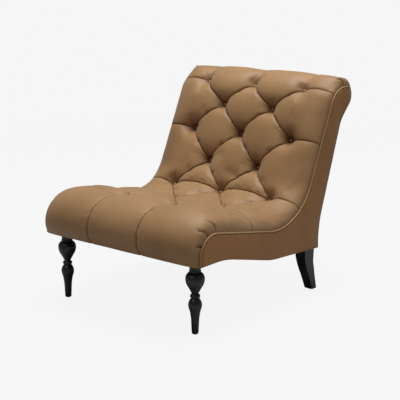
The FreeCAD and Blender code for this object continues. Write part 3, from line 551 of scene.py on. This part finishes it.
# %%
FOLD = 0.0030
FOLD_WIDTH = 0.007
SPAN_ROWS = 32
FRONT_ROWS = 104
SCROLL_ROWS = 60
CROWDING = 0.7
OPEN_CROWDING = 0.4
CREASE_SHARE = 0.8
SEAM_REACH = 0.005
SEAM_SHARE = 0.12
LINE_DEPTH = 0.0026
LINE_WIDTH = 0.0022
SEAM_BLEND_RUN = 0.16
BAY_BLEND_SHARE = 0.7
BAY_FOLD_REACH = 0.014


def spaced(start, end, count, crowding):
    """Places from start to end, crowded towards both ends by a share."""
    shares = [k / count for k in range(1, count + 1)]
    eased = [share * (1 - crowding) + crowding * (1 - math.cos(math.pi * share)) / 2
             for share in shares]
    return [between(start, end, share) for share in eased]


def line(distance):
    """The fine crease along the very bottom of a pleat: 1 on it, 0 a few millimetres off it."""
    return math.exp(-distance / LINE_WIDTH)


def across(x, middle_column):
    """The place across a diamond: 0 along its middle, 1 at its ends. The middle one spans X = 0."""
    return pleat_way(x) if middle_column else 1 - pleat_way(x)


def bay_closeness(closeness, x, distance):
    """Past the last buttons a pleat becomes a narrow fold: closeness by its plain distance."""
    blend = smooth_share(side_way(x) / BAY_BLEND_SHARE)
    return closeness * (1 - blend) + blend * math.exp(-distance / BAY_FOLD_REACH)


def pad_between(x, low, high, middle_column, half=0):
    """Rows from one pleat to the next: (run, closeness, line). Half is 1 or -1 at the crease."""
    side = across(x, middle_column)
    span = high - low
    swell = min(1.0, max(0.0, span - BUTTON_FLAT) / PITCH)
    rows = []
    for share in spaced(0.0, 1.0, SPAN_ROWS, CROWDING):
        if half:
            along = (share if half > 0 else 1 - share) * (1 - side)
            closeness = 1 - pillow(along, side) * wall(max(0.0, 1 - along / CREASE_SHARE))
        else:
            closeness = 1 - pillow((2 * share - 1) * (1 - side), side)
        distance = span * min(share, 1 - share)
        if abs(x) > PITCH and middle_column:
            closeness = bay_closeness(closeness, x, distance)
        past = share * span / FOLD_WIDTH
        shift = FOLD * swell * past * math.exp(1 - past)
        rows.append((low + span * share - shift, closeness, line(distance)))
    return rows


def open_pillow(x, seam_columns, beyond):
    """Closeness past the last pleats, where only seams run on from the buttons."""
    nearest = min(abs(abs(x) - column) for column in seam_columns)
    side = max(0.0, 1 - nearest / HALF_PITCH)
    broad = 1 - wall(side) ** 2
    seam = SEAM_SHARE * math.exp(-nearest / SEAM_REACH)
    return between(broad, seam, smooth_share(beyond / SEAM_BLEND_RUN))


def seat_cut(x):
    """Runs and closeness along the seat at X, from the hem over the roll to the crease."""
    front, second = pleat(x, 6, 7, -1, 0), pleat(x, 6, 5, 1, -1)
    third, crease = pleat(x, CREASE, 5, -1, 1), crease_at(x)
    side = across(x, True)
    rows = []
    for share in reversed([0.0] + spaced(0.0, 1.0, FRONT_ROWS, OPEN_CROWDING)):
        run = front * (1 - share)
        if run > ROLL_RUN:
            along = (run - ROLL_RUN) / (front - ROLL_RUN) * (1 - side)
            rows.append((run, 1 - pillow(along, side), line(front - run)))
        else:
            seam_line = max(line(front - run), line(abs(abs(x) - HALF_PITCH)))
            rows.append((run, open_pillow(x, (HALF_PITCH,), ROLL_RUN - run), seam_line))
    rows += pad_between(x, front, second, False)
    rows += pad_between(x, second, third, True)
    rows += pad_between(x, third, crease, False, -1)
    return rows


def back_cut(x):
    """Runs and closeness up the back at X, from the crease over the scroll to its hem."""
    joints = [crease_at(x), pleat(x, CREASE, 3, 1, -1), pleat(x, 2, 3, -1, 1), pleat(x, 2, 1, 1, -1),
              pleat(x, 0, 1, 0, 1)]
    rows = [(joints[0], 1.0, 1.0)] + pad_between(x, joints[0], joints[1], False, 1)
    rows += pad_between(x, joints[1], joints[2], True)
    rows += pad_between(x, joints[2], joints[3], False)
    rows += pad_between(x, joints[3], joints[4], True)
    top = joints[4]
    side = across(x, False)
    for share in spaced(0.0, 1.0, SCROLL_ROWS, OPEN_CROWDING):
        run = between(top, SCROLL_END, share)
        beyond = run - TOP_RUN
        if beyond < 0:
            closeness = 1 - pillow(beyond / (top - TOP_RUN) * (1 - side), side)
        else:
            closeness = open_pillow(x, (0.0, PITCH), beyond)
            if abs(x) > PITCH:
                closeness = 1 - (1 - closeness) * wall(max(0.0, 1 - beyond / HALF_PITCH))
        rows.append((run, closeness, line(run - top)))
    return rows


print("rows: seat %d, back %d" % (len(seat_cut(0.0)), len(back_cut(0.0))))

# %% [markdown]
# ## Wrinkles, gathers and corner folds
# Leather gathers where it is drawn in. Short wrinkles fan out from each button, ripples cross the
# seams of the front, and small folds take up the spare leather where the roll and the scroll turn
# in to the welt. Slow noise takes the regularity away.

# %%
COLUMN_STEPS = 40
COLUMN_CROWDING = 0.45
SCATTER = (12.9898, 78.233, 43758.5453)
FAN_DEPTH = 0.0023
FAN_COUNT = 9
FAN_SPREAD = 1.45
FAN_REACH = 0.048
FAN_SHORTEST = 0.6
FAN_VARIES = 0.8
FAN_START = 0.012
FAN_WIDTH = 0.0022
# How much shade is painted into the gathers.
FAN_SHADE = 0.5
PUCKER_HEIGHT = 0.0020
PUCKER_REACH = 0.020
PUCKER_RUN = 0.021
PUCKER_DRIFT_SCALE = 30.0
PUCKER_SHIFT = 4
SIDE_BULGE = 0.008
DRIFT_HEIGHT = 0.0016
DRIFT_SCALE = 11.0
# These set the shade painted dark into the pits and round the buttons.
PIT_SHADE_DEPTH = 0.026
PIT_SHADE_START = 0.85
BUTTON_SHADE_REACH = 0.011


def column_places():
    stops = [-PAD_SIDE, -PITCH, -HALF_PITCH, 0.0, HALF_PITCH, PITCH, PAD_SIDE]
    places = [-PAD_SIDE]
    for start, end in zip(stops, stops[1:]):
        places += spaced(start, end, COLUMN_STEPS, COLUMN_CROWDING)
    return places


def scatter(k, j):
    """An even scatter from 0 to 1 that is the same on every run."""
    return abs(math.sin(SCATTER[0] * k + SCATTER[1] * j) * SCATTER[2]) % 1


def fans():
    """Every gather at every button: the button's place, the gather's angle and its length."""
    gathers = []
    for k, (row, x) in enumerate(BUTTONS):
        for j in range(FAN_COUNT):
            spread = (j + scatter(k, j)) / FAN_COUNT * 2 - 1
            length = FAN_REACH * (FAN_SHORTEST + FAN_VARIES * scatter(j, k + 1))
            gathers.append((x, ROW_RUNS[row], math.pi / 2 + FAN_SPREAD * spread, length))
    return gathers


FANS = fans()


def fan_wrinkles(x, run):
    """How far the nearest gather draws the leather in: 0 to 1."""
    deepest = 0.0
    for button_x, button_run, angle, length in FANS:
        sideways, along = x - button_x, run - button_run
        if abs(sideways) > 2 * FAN_REACH or abs(along) > 2 * FAN_REACH:
            continue
        out = sideways * math.cos(angle) + along * math.sin(angle)
        off = -sideways * math.sin(angle) + along * math.cos(angle)
        if out > 0:
            fade = smooth_share(out / FAN_START) * smooth_share(2 - 2 * out / length)
            deepest = max(deepest, fade * near(off, FAN_WIDTH))
    return deepest


def seam_puckers(x, run):
    """Short ripples across the two seams of the front, where thread draws the leather in."""
    below = smooth_share((ROLL_RUN - run) / ROLL_BLEND_RUN)
    side = abs(abs(x) - HALF_PITCH)
    drift = noise.noise(Vector((x, run, 3)) * PUCKER_DRIFT_SCALE)
    wave = math.sin(2 * math.pi * run / PUCKER_RUN + PUCKER_SHIFT * drift + math.copysign(1.0, x))
    return below * PUCKER_HEIGHT * wave * math.exp(-side / PUCKER_REACH) * (0.5 + drift)


TUCK_DEPTH = 0.0036
TUCK_WIDTH = 0.0024
TUCK_LEAST = 0.0001
TUCKS = [  # distance from the middle and run along each small fold near the welt
    ((0.3360, 0.1310), (0.3457, 0.1390), (0.3617, 0.1504), (0.3690, 0.1520)),
    ((0.3300, 0.0990), (0.3457, 0.1004), (0.3642, 0.1112), (0.3690, 0.1130)),
    ((0.3550, 0.0620), (0.3617, 0.0651), (0.3690, 0.0720)),
    ((0.3380, 1.1700), (0.3528, 1.1767), (0.3642, 1.1899), (0.3690, 1.1860)),
]


def tuck_depth(x, run):
    """How far the small folds at the corners sink at a place. Each one dies out at its start."""
    deepest = 0.0
    place = Vector((abs(x), run))
    for points in TUCKS:
        for k, (start, end) in enumerate(zip(points, points[1:])):
            start, end = Vector(start), Vector(end)
            share = min(1.0, max(0.0, (place - start).dot(end - start) / (end - start).length_squared))
            distance = (place - start.lerp(end, share)).length
            grown = min(1.0, k + share)
            deepest = max(deepest, TUCK_DEPTH * grown * near(distance, TUCK_WIDTH))
    return deepest


def side_bulge(x, run, radius):
    """How far the roll's plump ends hang out over the welt."""
    on_roll = smooth_share((ROW_RUNS[-2] - run) / (ROW_RUNS[-2] - ROLL_RUN))
    return math.copysign(SIDE_BULGE, x) * on_roll * math.sin(2 * math.asin(edge_share(x, radius))) ** 2


def press_tucks(bm, run_layer, tuck_layer):
    """Push the corner folds square into the leather, whichever way it faces there."""
    bm.normal_update()
    for vert in [vert for vert in bm.verts if vert[tuck_layer] > TUCK_LEAST]:
        inward = -1 if vert.normal.dot(outward_at(vert[run_layer])) > 0 else 1
        vert.co += vert.normal * inward * vert[tuck_layer]


def laid_leather(x, run, closeness, crease_line, radius):
    """Where a point of the leather lies, how much shade is painted on it, and how deep its corner fold.
    """
    reach = button_reach(x, run)
    sunk = depth(x, run) * (1 - (1 - closeness) * (1 - near(reach, FUNNEL_REACH)))
    drift = DRIFT_HEIGHT * noise.noise(Vector((x, run, 0)) * DRIFT_SCALE)
    gather = fan_wrinkles(x, run)
    lift = crown(run) - scroll_droop(x, run) - sunk - LINE_DEPTH * crease_line
    lift += drift - FAN_DEPTH * gather + seam_puckers(x, run)
    lift = between(EDGE_STAND, lift, math.sqrt(1 - edge_share(x, radius) ** 2))
    tuck = tuck_depth(x, run)
    # Painted shade: dark in the pits, along the pleats, at the buttons, in the gathers and in the corner
    # folds.
    painted_shade = max(crease_line, smooth_share(sunk / PIT_SHADE_DEPTH - PIT_SHADE_START),
                 near(reach, BUTTON_SHADE_REACH), FAN_SHADE * gather, (tuck / TUCK_DEPTH) ** 2)
    return spot(run, lift, x + side_bulge(x, run, radius)), painted_shade, tuck


# %% [markdown]
# ## Letting the leather settle
# Foam pushes the leather out while the pleats and buttons hold it, and spare leather buckles into
# soft waves between them. Cloth simulation finds that shape. It runs on a coarse net of the same
# pad, pinned along its pleats, with pressure from below, no gravity, and cloth cut a little larger
# than the net. Only the net's moves are kept. They are capped, spread over the fine grid, and
# calmed towards the welt, where the leather is stretched over the edge.

# %%
NET_STEP = 2
SETTLE_FRAMES = 20
SETTLE_CAP = 0.0030
SIDE_CALM = 0.7
HELD_LINE = 0.6
HELD_PAINTED_SHADE = 0.9
CLOTH_SETTINGS = {
    "quality": 5,
    "mass": 0.3,
    "tension_stiffness": 40,
    "compression_stiffness": 40,
    "shear_stiffness": 20,
    "bending_stiffness": 2.0,
    "vertex_group_mass": "held",
    "use_pressure": True,
    "uniform_pressure_force": 2.0,
    "shrink_min": -0.010,
}


def coarse_lines(count):
    """Every second line of the fine grid, and its last one."""
    return list(range(0, count - 1, NET_STEP)) + [count - 1]


def cloth_on(carrier, held):
    """Give the net its cloth: pinned where held, pushed out, and cut a little too large."""
    group = carrier.vertex_groups.new(name="held")
    for index, weight in enumerate(held):
        group.add([index], weight, "REPLACE")
    cloth = carrier.modifiers.new("settle", "CLOTH")
    for setting, value in CLOTH_SETTINGS.items():
        setattr(cloth.settings, setting, value)
    cloth.settings.effector_weights.gravity = 0
    cloth.collision_settings.use_collision = False
    cloth.point_cache.frame_end = SETTLE_FRAMES


def spread(moves, column_lines, row_lines, column, row):
    """A net's move at a line of the fine grid, blended from the four net points around it."""
    k = min(column // NET_STEP, len(column_lines) - 2)
    j = min(row // NET_STEP, len(row_lines) - 2)
    u = (column - column_lines[k]) / (column_lines[k + 1] - column_lines[k])
    v = (row - row_lines[j]) / (row_lines[j + 1] - row_lines[j])
    return moves[k, j].lerp(moves[k + 1, j], u).lerp(moves[k, j + 1].lerp(moves[k + 1, j + 1], u), v)


def settle(name, laid, cuts):
    """Simulate a net of a laid grid, and return its moves as a function of column and row."""
    column_lines, row_lines = coarse_lines(len(laid)), coarse_lines(len(laid[0]))
    bm, keys = grid(len(column_lines), len(row_lines))
    held = []
    for vert, (k, j) in zip(bm.verts, keys):
        column, row = column_lines[k], row_lines[j]
        vert.co, painted_shade, _ = laid[column][row]
        on_edge = column in (0, len(laid) - 1) or row in (0, len(laid[0]) - 1)
        held.append(float(on_edge or cuts[column][row][2] > HELD_LINE or painted_shade > HELD_PAINTED_SHADE))
    mesh = new_mesh(name + "_net", bm)
    carrier = new_object(name + "_net", mesh)
    cloth_on(carrier, held)
    for moment in range(1, SETTLE_FRAMES + 1):
        bpy.context.scene.frame_set(moment)
    settled = carrier.evaluated_get(bpy.context.evaluated_depsgraph_get()).to_mesh()
    moves = {}
    largest = 0.0
    for vert, start, key in zip(settled.vertices, mesh.vertices, keys):
        move = vert.co - start.co
        largest = max(largest, move.length)
        moves[key] = move * min(1.0, SETTLE_CAP / max(move.length, ROUNDING))
    bpy.data.objects.remove(carrier)
    bpy.data.meshes.remove(mesh)
    bpy.context.scene.frame_set(1)
    print("%s net: %d points, largest move %.4f" % (name, len(keys), largest))
    return lambda column, row: spread(moves, column_lines, row_lines, column, row)


# %% [markdown]
# ## From cut to leather
# One grid makes each pad. Its columns crowd towards the buttons, its rows towards the pleats, and
# every vertex is put at its place on the cut. The simulated moves are added, the corner folds are
# pressed in, and the grid is extruded down to the deck, so that the pad is a closed body.

# %%
DECK_LIFT = -0.014


def tufted(name, cut_at, side_radius_at, nodes):
    """A buttoned pad: a grid laid over the cuts at every column, closed down to the deck."""
    xs = column_places()
    cuts = [cut_at(x) for x in xs]
    laid = [[laid_leather(x, run, closeness, crease_line, side_radius_at(run))
             for run, closeness, crease_line in cut] for x, cut in zip(xs, cuts)]
    move_at = settle(name, laid, cuts)
    bm, keys = grid(len(xs), len(cuts[0]))
    run_layer, across_layer, painted_shade_layer, tuck_layer = [
        bm.verts.layers.float.new(layer) for layer in ("run", "across", "painted_shade", "tuck")]
    for vert, (column, row) in zip(bm.verts, keys):
        place, vert[painted_shade_layer], vert[tuck_layer] = laid[column][row]
        vert[run_layer] = cuts[column][row][0]
        vert[across_layer] = xs[column]
        vert.co = place + move_at(column, row) * (1 - SIDE_CALM * smooth_share(side_way(xs[column])))
    press_tucks(bm, run_layer, tuck_layer)
    thicken(bm, lambda vert: spot(vert[run_layer], DECK_LIFT, vert[across_layer]))
    piece = add_piece(name, bm, tan_leather, "tan_leather", *nodes)


tufted("seat_upholstery", seat_cut, lambda run: SEAT_SIDE_RADIUS, ("seat_cover", "seat_pad"))
tufted("back_upholstery", back_cut, back_side, ("back_cover", "back_pad"))

# %% [markdown]
# ## Buttons
# Each button is a small metal mould with a disc of the same leather gathered round it, painted
# darker as shade in its pit. A profile is spun into a dome, and its rim is pinched a little by the
# gathers. Copies go to their places square to the profile.

# %%
BUTTON_RADIUS = 0.0072
BUTTON_DOME = 0.0042
BUTTON_SIDE = 0.0030
BUTTON_NECK = 0.82
BUTTON_RINGS = 7
BUTTON_SPOKES = 28
BUTTON_MERGE = 0.00002
BUTTON_STANDS = (0.0045, 0.0085, 0.0100, 0.0100, 0.0080, 0.0068, 0.0068, 0.0068)
GATHER_COUNT = 7
GATHER_HEIGHT = 0.0003
# The buttons' darker tone is painted shade from their pits.
BUTTON_SHADED_DARK = (0.225, 0.105, 0.041)
BUTTON_ROUGHNESS = 0.42


def button_blank():
    """The mesh of one covered button around the Z axis, its underside closed."""
    bm = bmesh.new()
    angles = [k * math.pi / 2 / BUTTON_RINGS for k in range(BUTTON_RINGS + 1)]
    points = [(BUTTON_RADIUS * math.sin(angle), 0, BUTTON_DOME * math.cos(angle)) for angle in angles]
    points += [(BUTTON_NECK * BUTTON_RADIUS, 0, -BUTTON_SIDE), (0, 0, -BUTTON_SIDE)]
    profile = [bm.verts.new(point) for point in points]
    edges = [bm.edges.new(pair) for pair in zip(profile, profile[1:])]
    bmesh.ops.spin(bm, geom=profile + edges, cent=(0, 0, 0), axis=(0, 0, 1), angle=2 * math.pi,
                   steps=BUTTON_SPOKES, use_merge=True)
    bmesh.ops.remove_doubles(bm, verts=bm.verts[:], dist=BUTTON_MERGE)
    for vert in bm.verts:
        reach = math.hypot(vert.co.x, vert.co.y) / BUTTON_RADIUS
        angle = math.atan2(vert.co.y, vert.co.x)
        vert.co.z += GATHER_HEIGHT * math.cos(GATHER_COUNT * angle) * reach ** 3
    return new_mesh("button_blank", bm)


def add_buttons(name, blank, rows, node):
    bm = bmesh.new()
    for row, x in [(row, x) for row, x in BUTTONS if row in rows]:
        turn = outward_at(ROW_RUNS[row]).normalized().to_track_quat("Z", "X").to_matrix()
        known = set(bm.verts)
        bm.from_mesh(blank)
        placed = [vert for vert in bm.verts if vert not in known]
        bmesh.ops.rotate(bm, verts=placed, cent=(0, 0, 0), matrix=turn)
        base = spot(ROW_RUNS[row], ROW_PITS[row] + BUTTON_STANDS[row], x)
        bmesh.ops.translate(bm, verts=placed, vec=base)
    add_piece(name, bm, button_leather, "button_leather", node)


# The buttons' leather is the tan leather painted darker, as shade in the pits.
button_leather = leather("button_leather", TAN_DARK, BUTTON_SHADED_DARK, BUTTON_ROUGHNESS)
button = button_blank()
add_buttons("buttons_on_back", button, range(CREASE + 1), "back_buttons")
add_buttons("buttons_on_seat", button, range(CREASE + 1, FRONT_ROW + 1), "seat_buttons")
bpy.data.meshes.remove(button)

# %% [markdown]
# ## Side panels
# Each side is one plain piece of leather over a thin layer of wadding. It is cut to the profile, so
# its outline is drawn as one face and sliced into a fine net by planes. The wadding makes it swell
# a little away from its edges, where the welt and the tacks hold it down.

# %%
LEATHER_THICK = 0.0016
PANEL_SWELL = 0.0022
PANEL_SWELL_REACH = 0.045
PANEL_RIPPLE = 0.2
PANEL_RIPPLE_SCALE = 9.0
PANEL_NET = 0.014
SEAM_GAP = 0.0003
EDGE_GAP = WELT_RADIUS + SEAM_GAP
PROFILE_STEP = 0.006
CORNER_STEP = 0.008
SAME_POINT = 1e-5


def stretch(start, end, lift, x):
    """Points along a stretch of the profile."""
    count = math.ceil((end - start) / PROFILE_STEP)
    return [spot(start + (end - start) * k / count, lift, x) for k in range(count + 1)]


def panel_outline(x):
    """The panel's edge: inside the welt up and over, then along the open lower side."""
    points = stretch(0, SCROLL_END, -EDGE_GAP, x) + stretch(SCROLL_END, BACK_END, -EDGE_GAP, x)
    points += stretch(TAIL_RUN + CORNER_STEP, RUN_END - CORNER_STEP, 0, x)
    befores = [points[-1]] + points
    return [point for point, before in zip(points, befores) if (point - before).length > SAME_POINT]


def slice_net(bm, low, high, axes, step):
    """Cut a flat mesh into a net by parallel planes across two axes."""
    for axis in axes:
        way = Vector([1.0 if k == axis else 0.0 for k in range(3)])
        place = low[axis] + step
        while place < high[axis]:
            bmesh.ops.bisect_plane(bm, geom=bm.verts[:] + bm.edges[:] + bm.faces[:], dist=HAIR,
                                   plane_co=way * place, plane_no=way)
            place += step


def side_panel(name, side, node):
    outline = panel_outline(side * HALF_WIDTH)
    bm = bmesh.new()
    bm.faces.new([bm.verts.new(point) for point in outline])
    low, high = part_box(node)
    slice_net(bm, low, high, (1, 2), PANEL_NET)
    for vert in bm.verts:
        reach = min((vert.co - corner).length for corner in outline)
        inside = smooth_share(reach / PANEL_SWELL_REACH)
        ripple = 1 - PANEL_RIPPLE + PANEL_RIPPLE * noise.noise(vert.co * PANEL_RIPPLE_SCALE)
        vert.co.x += side * PANEL_SWELL * inside * ripple
    thicken(bm, lambda vert: vert.co - Vector((side * LEATHER_THICK, 0, 0)))
    # The panel leather is painted a more saturated orange, as the leather looks in shade.
    add_piece(name, bm, shaded_panel_leather, "tan_leather", node)


side_panel("side_panel_right", 1, "side_cover_right")
side_panel("side_panel_left", -1, "side_cover_left")

# %% [markdown]
# ## The outside back
# The back is closed by one stretched piece of leather from the end of the scroll to the lower edge.
# It is a grid over the profile with a slight swell, and it gets the leather's thickness inwards.

# %%
BACK_SWELL = 0.0020
BACK_SWELL_REACH = 0.25
BACK_COLUMNS = 61
BACK_ROWS = 91


def outside_back():
    bm, _ = grid(BACK_COLUMNS, BACK_ROWS)
    start = SCROLL_END + SEAM_GAP
    run_layer = bm.verts.layers.float.new("run")
    for vert in bm.verts:
        across_share = 2 * vert.co.x
        run = between(start, BACK_END, vert.co.y + 0.5)
        vert[run_layer] = run
        inside = smooth_share(min(run - start, BACK_END - run) / BACK_SWELL_REACH)
        swell = BACK_SWELL * (1 - across_share ** 4) * inside
        vert.co = spot(run, swell, across_share * PAD_SIDE)
    thicken(bm, lambda vert: spot(vert[run_layer], -LEATHER_THICK, vert.co.x))
    # Painted like the side panels: a more saturated orange, as the leather looks in shade.
    add_piece("outside_back", bm, shaded_panel_leather, "tan_leather", "rear_cover")


outside_back()

# %% [markdown]
# ## Welts
# A welt is a cord sewn into a strip of leather, and it hides the seam between a side panel and the
# leather that it meets. A curve along the profile, with a round bevel, gives the tube. Its mesh is
# taken from the curve, and its thickness wanders a little, as hand-sewn piping does.

# %%
WELT_STEP = 0.004
WELT_WANDER = 0.00035
WELT_WANDER_SCALE = 40.0
WELT_ROUNDNESS = 3


def welt(name, side, node):
    count = round(TAIL_RUN / WELT_STEP)
    points = [spot(BACK_END * k / count, 0, side * WELT_X) for k in range(count + 1)]
    data = bpy.data.curves.new(name + "_path", "CURVE")
    data.dimensions = "3D"
    data.bevel_depth = WELT_RADIUS
    data.bevel_resolution = WELT_ROUNDNESS
    data.use_fill_caps = True
    spline = data.splines.new("POLY")
    spline.points.add(len(points) - 1)
    for point, place in zip(spline.points, points):
        point.co = (*place, 1)
    carrier = new_object(name + "_path", data)
    mesh = bpy.data.meshes.new_from_object(carrier)
    bm = bmesh.new()
    bm.from_mesh(mesh)
    bpy.data.objects.remove(carrier)
    bpy.data.curves.remove(data)
    bpy.data.meshes.remove(mesh)
    bmesh.ops.remove_doubles(bm, verts=bm.verts[:], dist=HAIR)
    for vert in bm.verts:
        vert.co += Vector((1, 1, 1)) * WELT_WANDER * noise.noise(vert.co * WELT_WANDER_SCALE)
    add_piece(name, bm, tan_leather, "piping_leather", node)


welt("welt_piping_right", 1, "welt_right")
welt("welt_piping_left", -1, "welt_left")

# %% [markdown]
# ## Finishes of the other materials
# The legs are lacquered nearly black over a close-grained wood. Everything inside has its own plain
# finish too, though it only shows when a cover is off: birch ply, beech, jute, hessian, zinc. One
# noise makes each of them, stretched along the grain or the threads.

# %%
WOOD = (6, 0.65, 0.35, 0.0003, 0.35)  # noise detail and roughness, margin, bump distance, strength
CLOTH = (3, 0.6, 0.3, 0.0004, 0.7)
CAMBRIC = (2, 0.5, 0.35, 0.0002, 0.6)
PLAIN = (4, 0.5, 0.3, 0.0001, 0.3)
EVEN = (1, 1, 1)
UPRIGHT = (8, 8, 1)
CROSSWISE = (1, 8, 8)
SIDEWAYS = (8, 1, 8)
FINISH_ROWS = [  # name, kind, light and dark colour, roughness, noise scale, stretch, metallic
    ("black_leg_lacquer", WOOD, grey(0.012), grey(0.006), 0.30, 18, UPRIGHT),
    ("birch_plywood", WOOD, (0.62, 0.44, 0.26), (0.50, 0.33, 0.18), 0.6, 18, SIDEWAYS),
    ("beech_frame", WOOD, (0.56, 0.36, 0.20), (0.44, 0.27, 0.14), 0.6, 18, CROSSWISE),
    ("jute_webbing", CLOTH, (0.36, 0.25, 0.13), (0.20, 0.13, 0.06), 0.9, 500, (1, 0.3, 1)),
    ("hessian", CLOTH, (0.42, 0.31, 0.18), (0.24, 0.17, 0.09), 0.9, 420),
    ("pad_foam", PLAIN, (0.80, 0.76, 0.60), (0.70, 0.66, 0.50), 0.9, 300),
    ("polyester_wadding", CLOTH, grey(0.85), grey(0.70), 0.9, 160),
    ("linen_twine", CLOTH, (0.60, 0.50, 0.34), (0.42, 0.34, 0.22), 0.9, 700),
    ("washer_plastic", PLAIN, grey(0.05), grey(0.03), 0.45, 60),
    ("nylon_glide", PLAIN, grey(0.08), grey(0.05), 0.5, 60),
    ("zinc_steel", PLAIN, (0.68, 0.69, 0.70), (0.52, 0.53, 0.55), 0.38, 60, EVEN, 1.0),
    ("black_cambric", CAMBRIC, grey(0.028), grey(0.010), 0.9, 900, (1, 0.25, 1)),
]
STARTS = {  # how the names of the nodes with each finish start; all others are of beech
    "birch_plywood": ("gable",),
    "black_leg_lacquer": ("front_leg", "rear_leg"),
    "nylon_glide": ("glide",),
    "jute_webbing": ("cross_webbing", "seat_webbing", "back_webbing"),
    "hessian": ("deck_hessian",),
    "pad_foam": ("seat_pad", "back_pad"),
    "linen_twine": ("button_twines",),
    "washer_plastic": ("twine_washers",),
    "polyester_wadding": ("side_wadding", "rear_wadding"),
    "zinc_steel": ("frame_screws", "hanger_bolts", "tee_nuts"),
    "tan_leather": ("seat_cover", "back_cover", "side_cover", "rear_cover", "welt",
                    "back_buttons", "seat_buttons"),
    "black_cambric": ("dust_cover",),
}


def plain_finish(name, kind, light, dark, roughness, scale, stretch_way=EVEN, metallic=0.0):
    """A finish whose colour and surface both follow one noise."""
    detail, noise_roughness, margin, distance, strength = kind
    material, tree, shader = new_material(name, {"Roughness": roughness, "Metallic": metallic})
    grain = noise_texture(tree, scale, detail, noise_roughness, stretch_way)
    link(tree, ramp(tree, grain, dark, light, margin), shader.inputs["Base Color"])
    bumped(tree, shader, [(grain, distance, strength)])
    return material


def finish_name(node):
    named = [finish for finish, starts in STARTS.items() if node.startswith(starts)]
    return named[0] if named else "beech_frame"


FINISHES = {row[0]: plain_finish(*row) for row in FINISH_ROWS}
FINISHES["tan_leather"] = tan_leather
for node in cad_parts:
    for material_slot in bpy.data.objects[node].material_slots:
        material_slot.material = FINISHES[finish_name(node)]
print("nodes with a finish:", len(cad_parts))

# %% [markdown]
# ## The cambric below
# A thin black cloth closes the underside and keeps dust in. Its solid has the right outline, with
# an opening at every leg, so a merged copy of it is sliced into a net and sags between its tacks.

# %%
CAMBRIC_SAG = 0.005
CAMBRIC_NET = 0.03


def cambric():
    low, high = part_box("dust_cover")
    bm = bmesh.new()
    bm.from_mesh(bpy.data.objects["dust_cover"].data)
    bmesh.ops.remove_doubles(bm, verts=bm.verts[:], dist=HAIR)
    slice_net(bm, low, high, (0, 1), CAMBRIC_NET)
    for vert in bm.verts:
        across_share = abs(vert.co.x) / high.x
        along_share = abs(2 * (vert.co.y - low.y) / (high.y - low.y) - 1)
        vert.co.z -= CAMBRIC_SAG * (1 - across_share ** 2) * (1 - along_share ** 2)
    bmesh.ops.triangulate(bm, faces=bm.faces[:])
    piece = add_piece("cambric", bm, FINISHES["black_cambric"], "black_cambric", "dust_cover")


cambric()

# %% [markdown]
# ## Floor, backdrop and light
# A plain pale floor and a backdrop of the same tone stand for the photographer's paper. The camera
# sees them at their own tone, and only a share of the paper takes light and shadow, so the chair's
# shadow stays faint. The light is broad and from above, with a weaker and warmer lamp from the
# front.

# %%
PAPER_TONE = 0.920
PAPER_GLOW = 0.970
PAPER_BODY = 0.36
SHADOW_SHARE = 0.08
SHADOW_NEAR = 1.0
SHADOW_FAR = 5.0
STAGE_SIZE = 30
LIGHT_TARGET = Vector((0, 0, 0.4))
LIGHTS = [  # name, place, size, power, colour
    ("key", (0.2, 0.40, 4.6), 3.3, 266, grey(1.0)),
    ("front", (-0.3, -2.6, 3.0), 2.0, 15, (1.0, 0.82, 0.56)),
]
FILL_COLOUR = (0.95, 0.95, 0.96)
FILL_STRENGTH = 0.205


def seen_directly(tree):
    """1 for rays that show the stage itself to the camera."""
    return new_node(tree, "LightPath").outputs["Is Camera Ray"]


def show_mix(tree, share, first, second, output):
    """Show the first shader where the share is 0 and the second one where it is 1."""
    mix = new_node(tree, "MixShader")
    for k, source in enumerate((share, first, second)):
        link(tree, source, mix.inputs[k])
    link(tree, mix.outputs[0], tree.nodes[output].inputs["Surface"])


def floor_range(tree, first, last):
    """A value that goes from first to last as the floor runs away from the chair."""
    reach = new_node(tree, "VectorMath")
    reach.operation = "LENGTH"
    link(tree, object_place(tree), reach.inputs[0])
    ends = {"From Min": SHADOW_NEAR, "From Max": SHADOW_FAR, "To Min": first, "To Max": last}
    fade = new_node(tree, "MapRange", **ends)
    link(tree, reach.outputs["Value"], fade.inputs["Value"])
    return fade.outputs["Result"]


def paper():
    """Paper that shows its own tone to the camera and takes only a share of shadow."""
    body = {"Roughness": 0.9, "Base Color": (*grey(PAPER_BODY), 1)}
    material, tree, shader = new_material("paper", body)
    glow = new_node(tree, "Emission")
    link(tree, floor_range(tree, PAPER_GLOW, PAPER_TONE), glow.inputs["Color"])
    share = new_node(tree, "Math")
    share.operation = "MULTIPLY"
    link(tree, seen_directly(tree), share.inputs[0])
    link(tree, floor_range(tree, 1 - SHADOW_SHARE, 1.0), share.inputs[1])
    show_mix(tree, share.outputs[0], shader.outputs[0], glow.outputs[0], "Material Output")
    return material


def add_floor():
    bm = bmesh.new()
    bmesh.ops.create_grid(bm, x_segments=2, y_segments=2, size=STAGE_SIZE)
    mesh = new_mesh("floor", bm)
    mesh.materials.append(paper())
    floor = new_object("floor", mesh)


def add_light(name, place, size, power, colour):
    data = bpy.data.lights.new(name, "AREA")
    data.shape = "DISK"
    data.size = size
    data.energy = power
    data.color = colour
    light = new_object(name, data)
    light.location = place
    light.rotation_euler = (Vector(place) - LIGHT_TARGET).to_track_quat("Z", "Y").to_euler()


def add_world():
    """Soft grey light all round, behind a backdrop that the camera sees in the paper's tone."""
    world = bpy.data.worlds.new("world")
    bpy.context.scene.world = world
    world.use_nodes = True
    tree = world.node_tree
    fill = tree.nodes["Background"]
    fill.inputs["Color"].default_value = (*FILL_COLOUR, 1)
    fill.inputs["Strength"].default_value = FILL_STRENGTH
    backdrop = new_node(tree, "Background", Color=(*grey(PAPER_TONE), 1))
    show_mix(tree, seen_directly(tree), fill.outputs[0], backdrop.outputs[0], "World Output")


add_floor()
for light in LIGHTS:
    add_light(*light)
add_world()
bpy.context.scene.view_settings.view_transform = "Standard"
print("stage set")
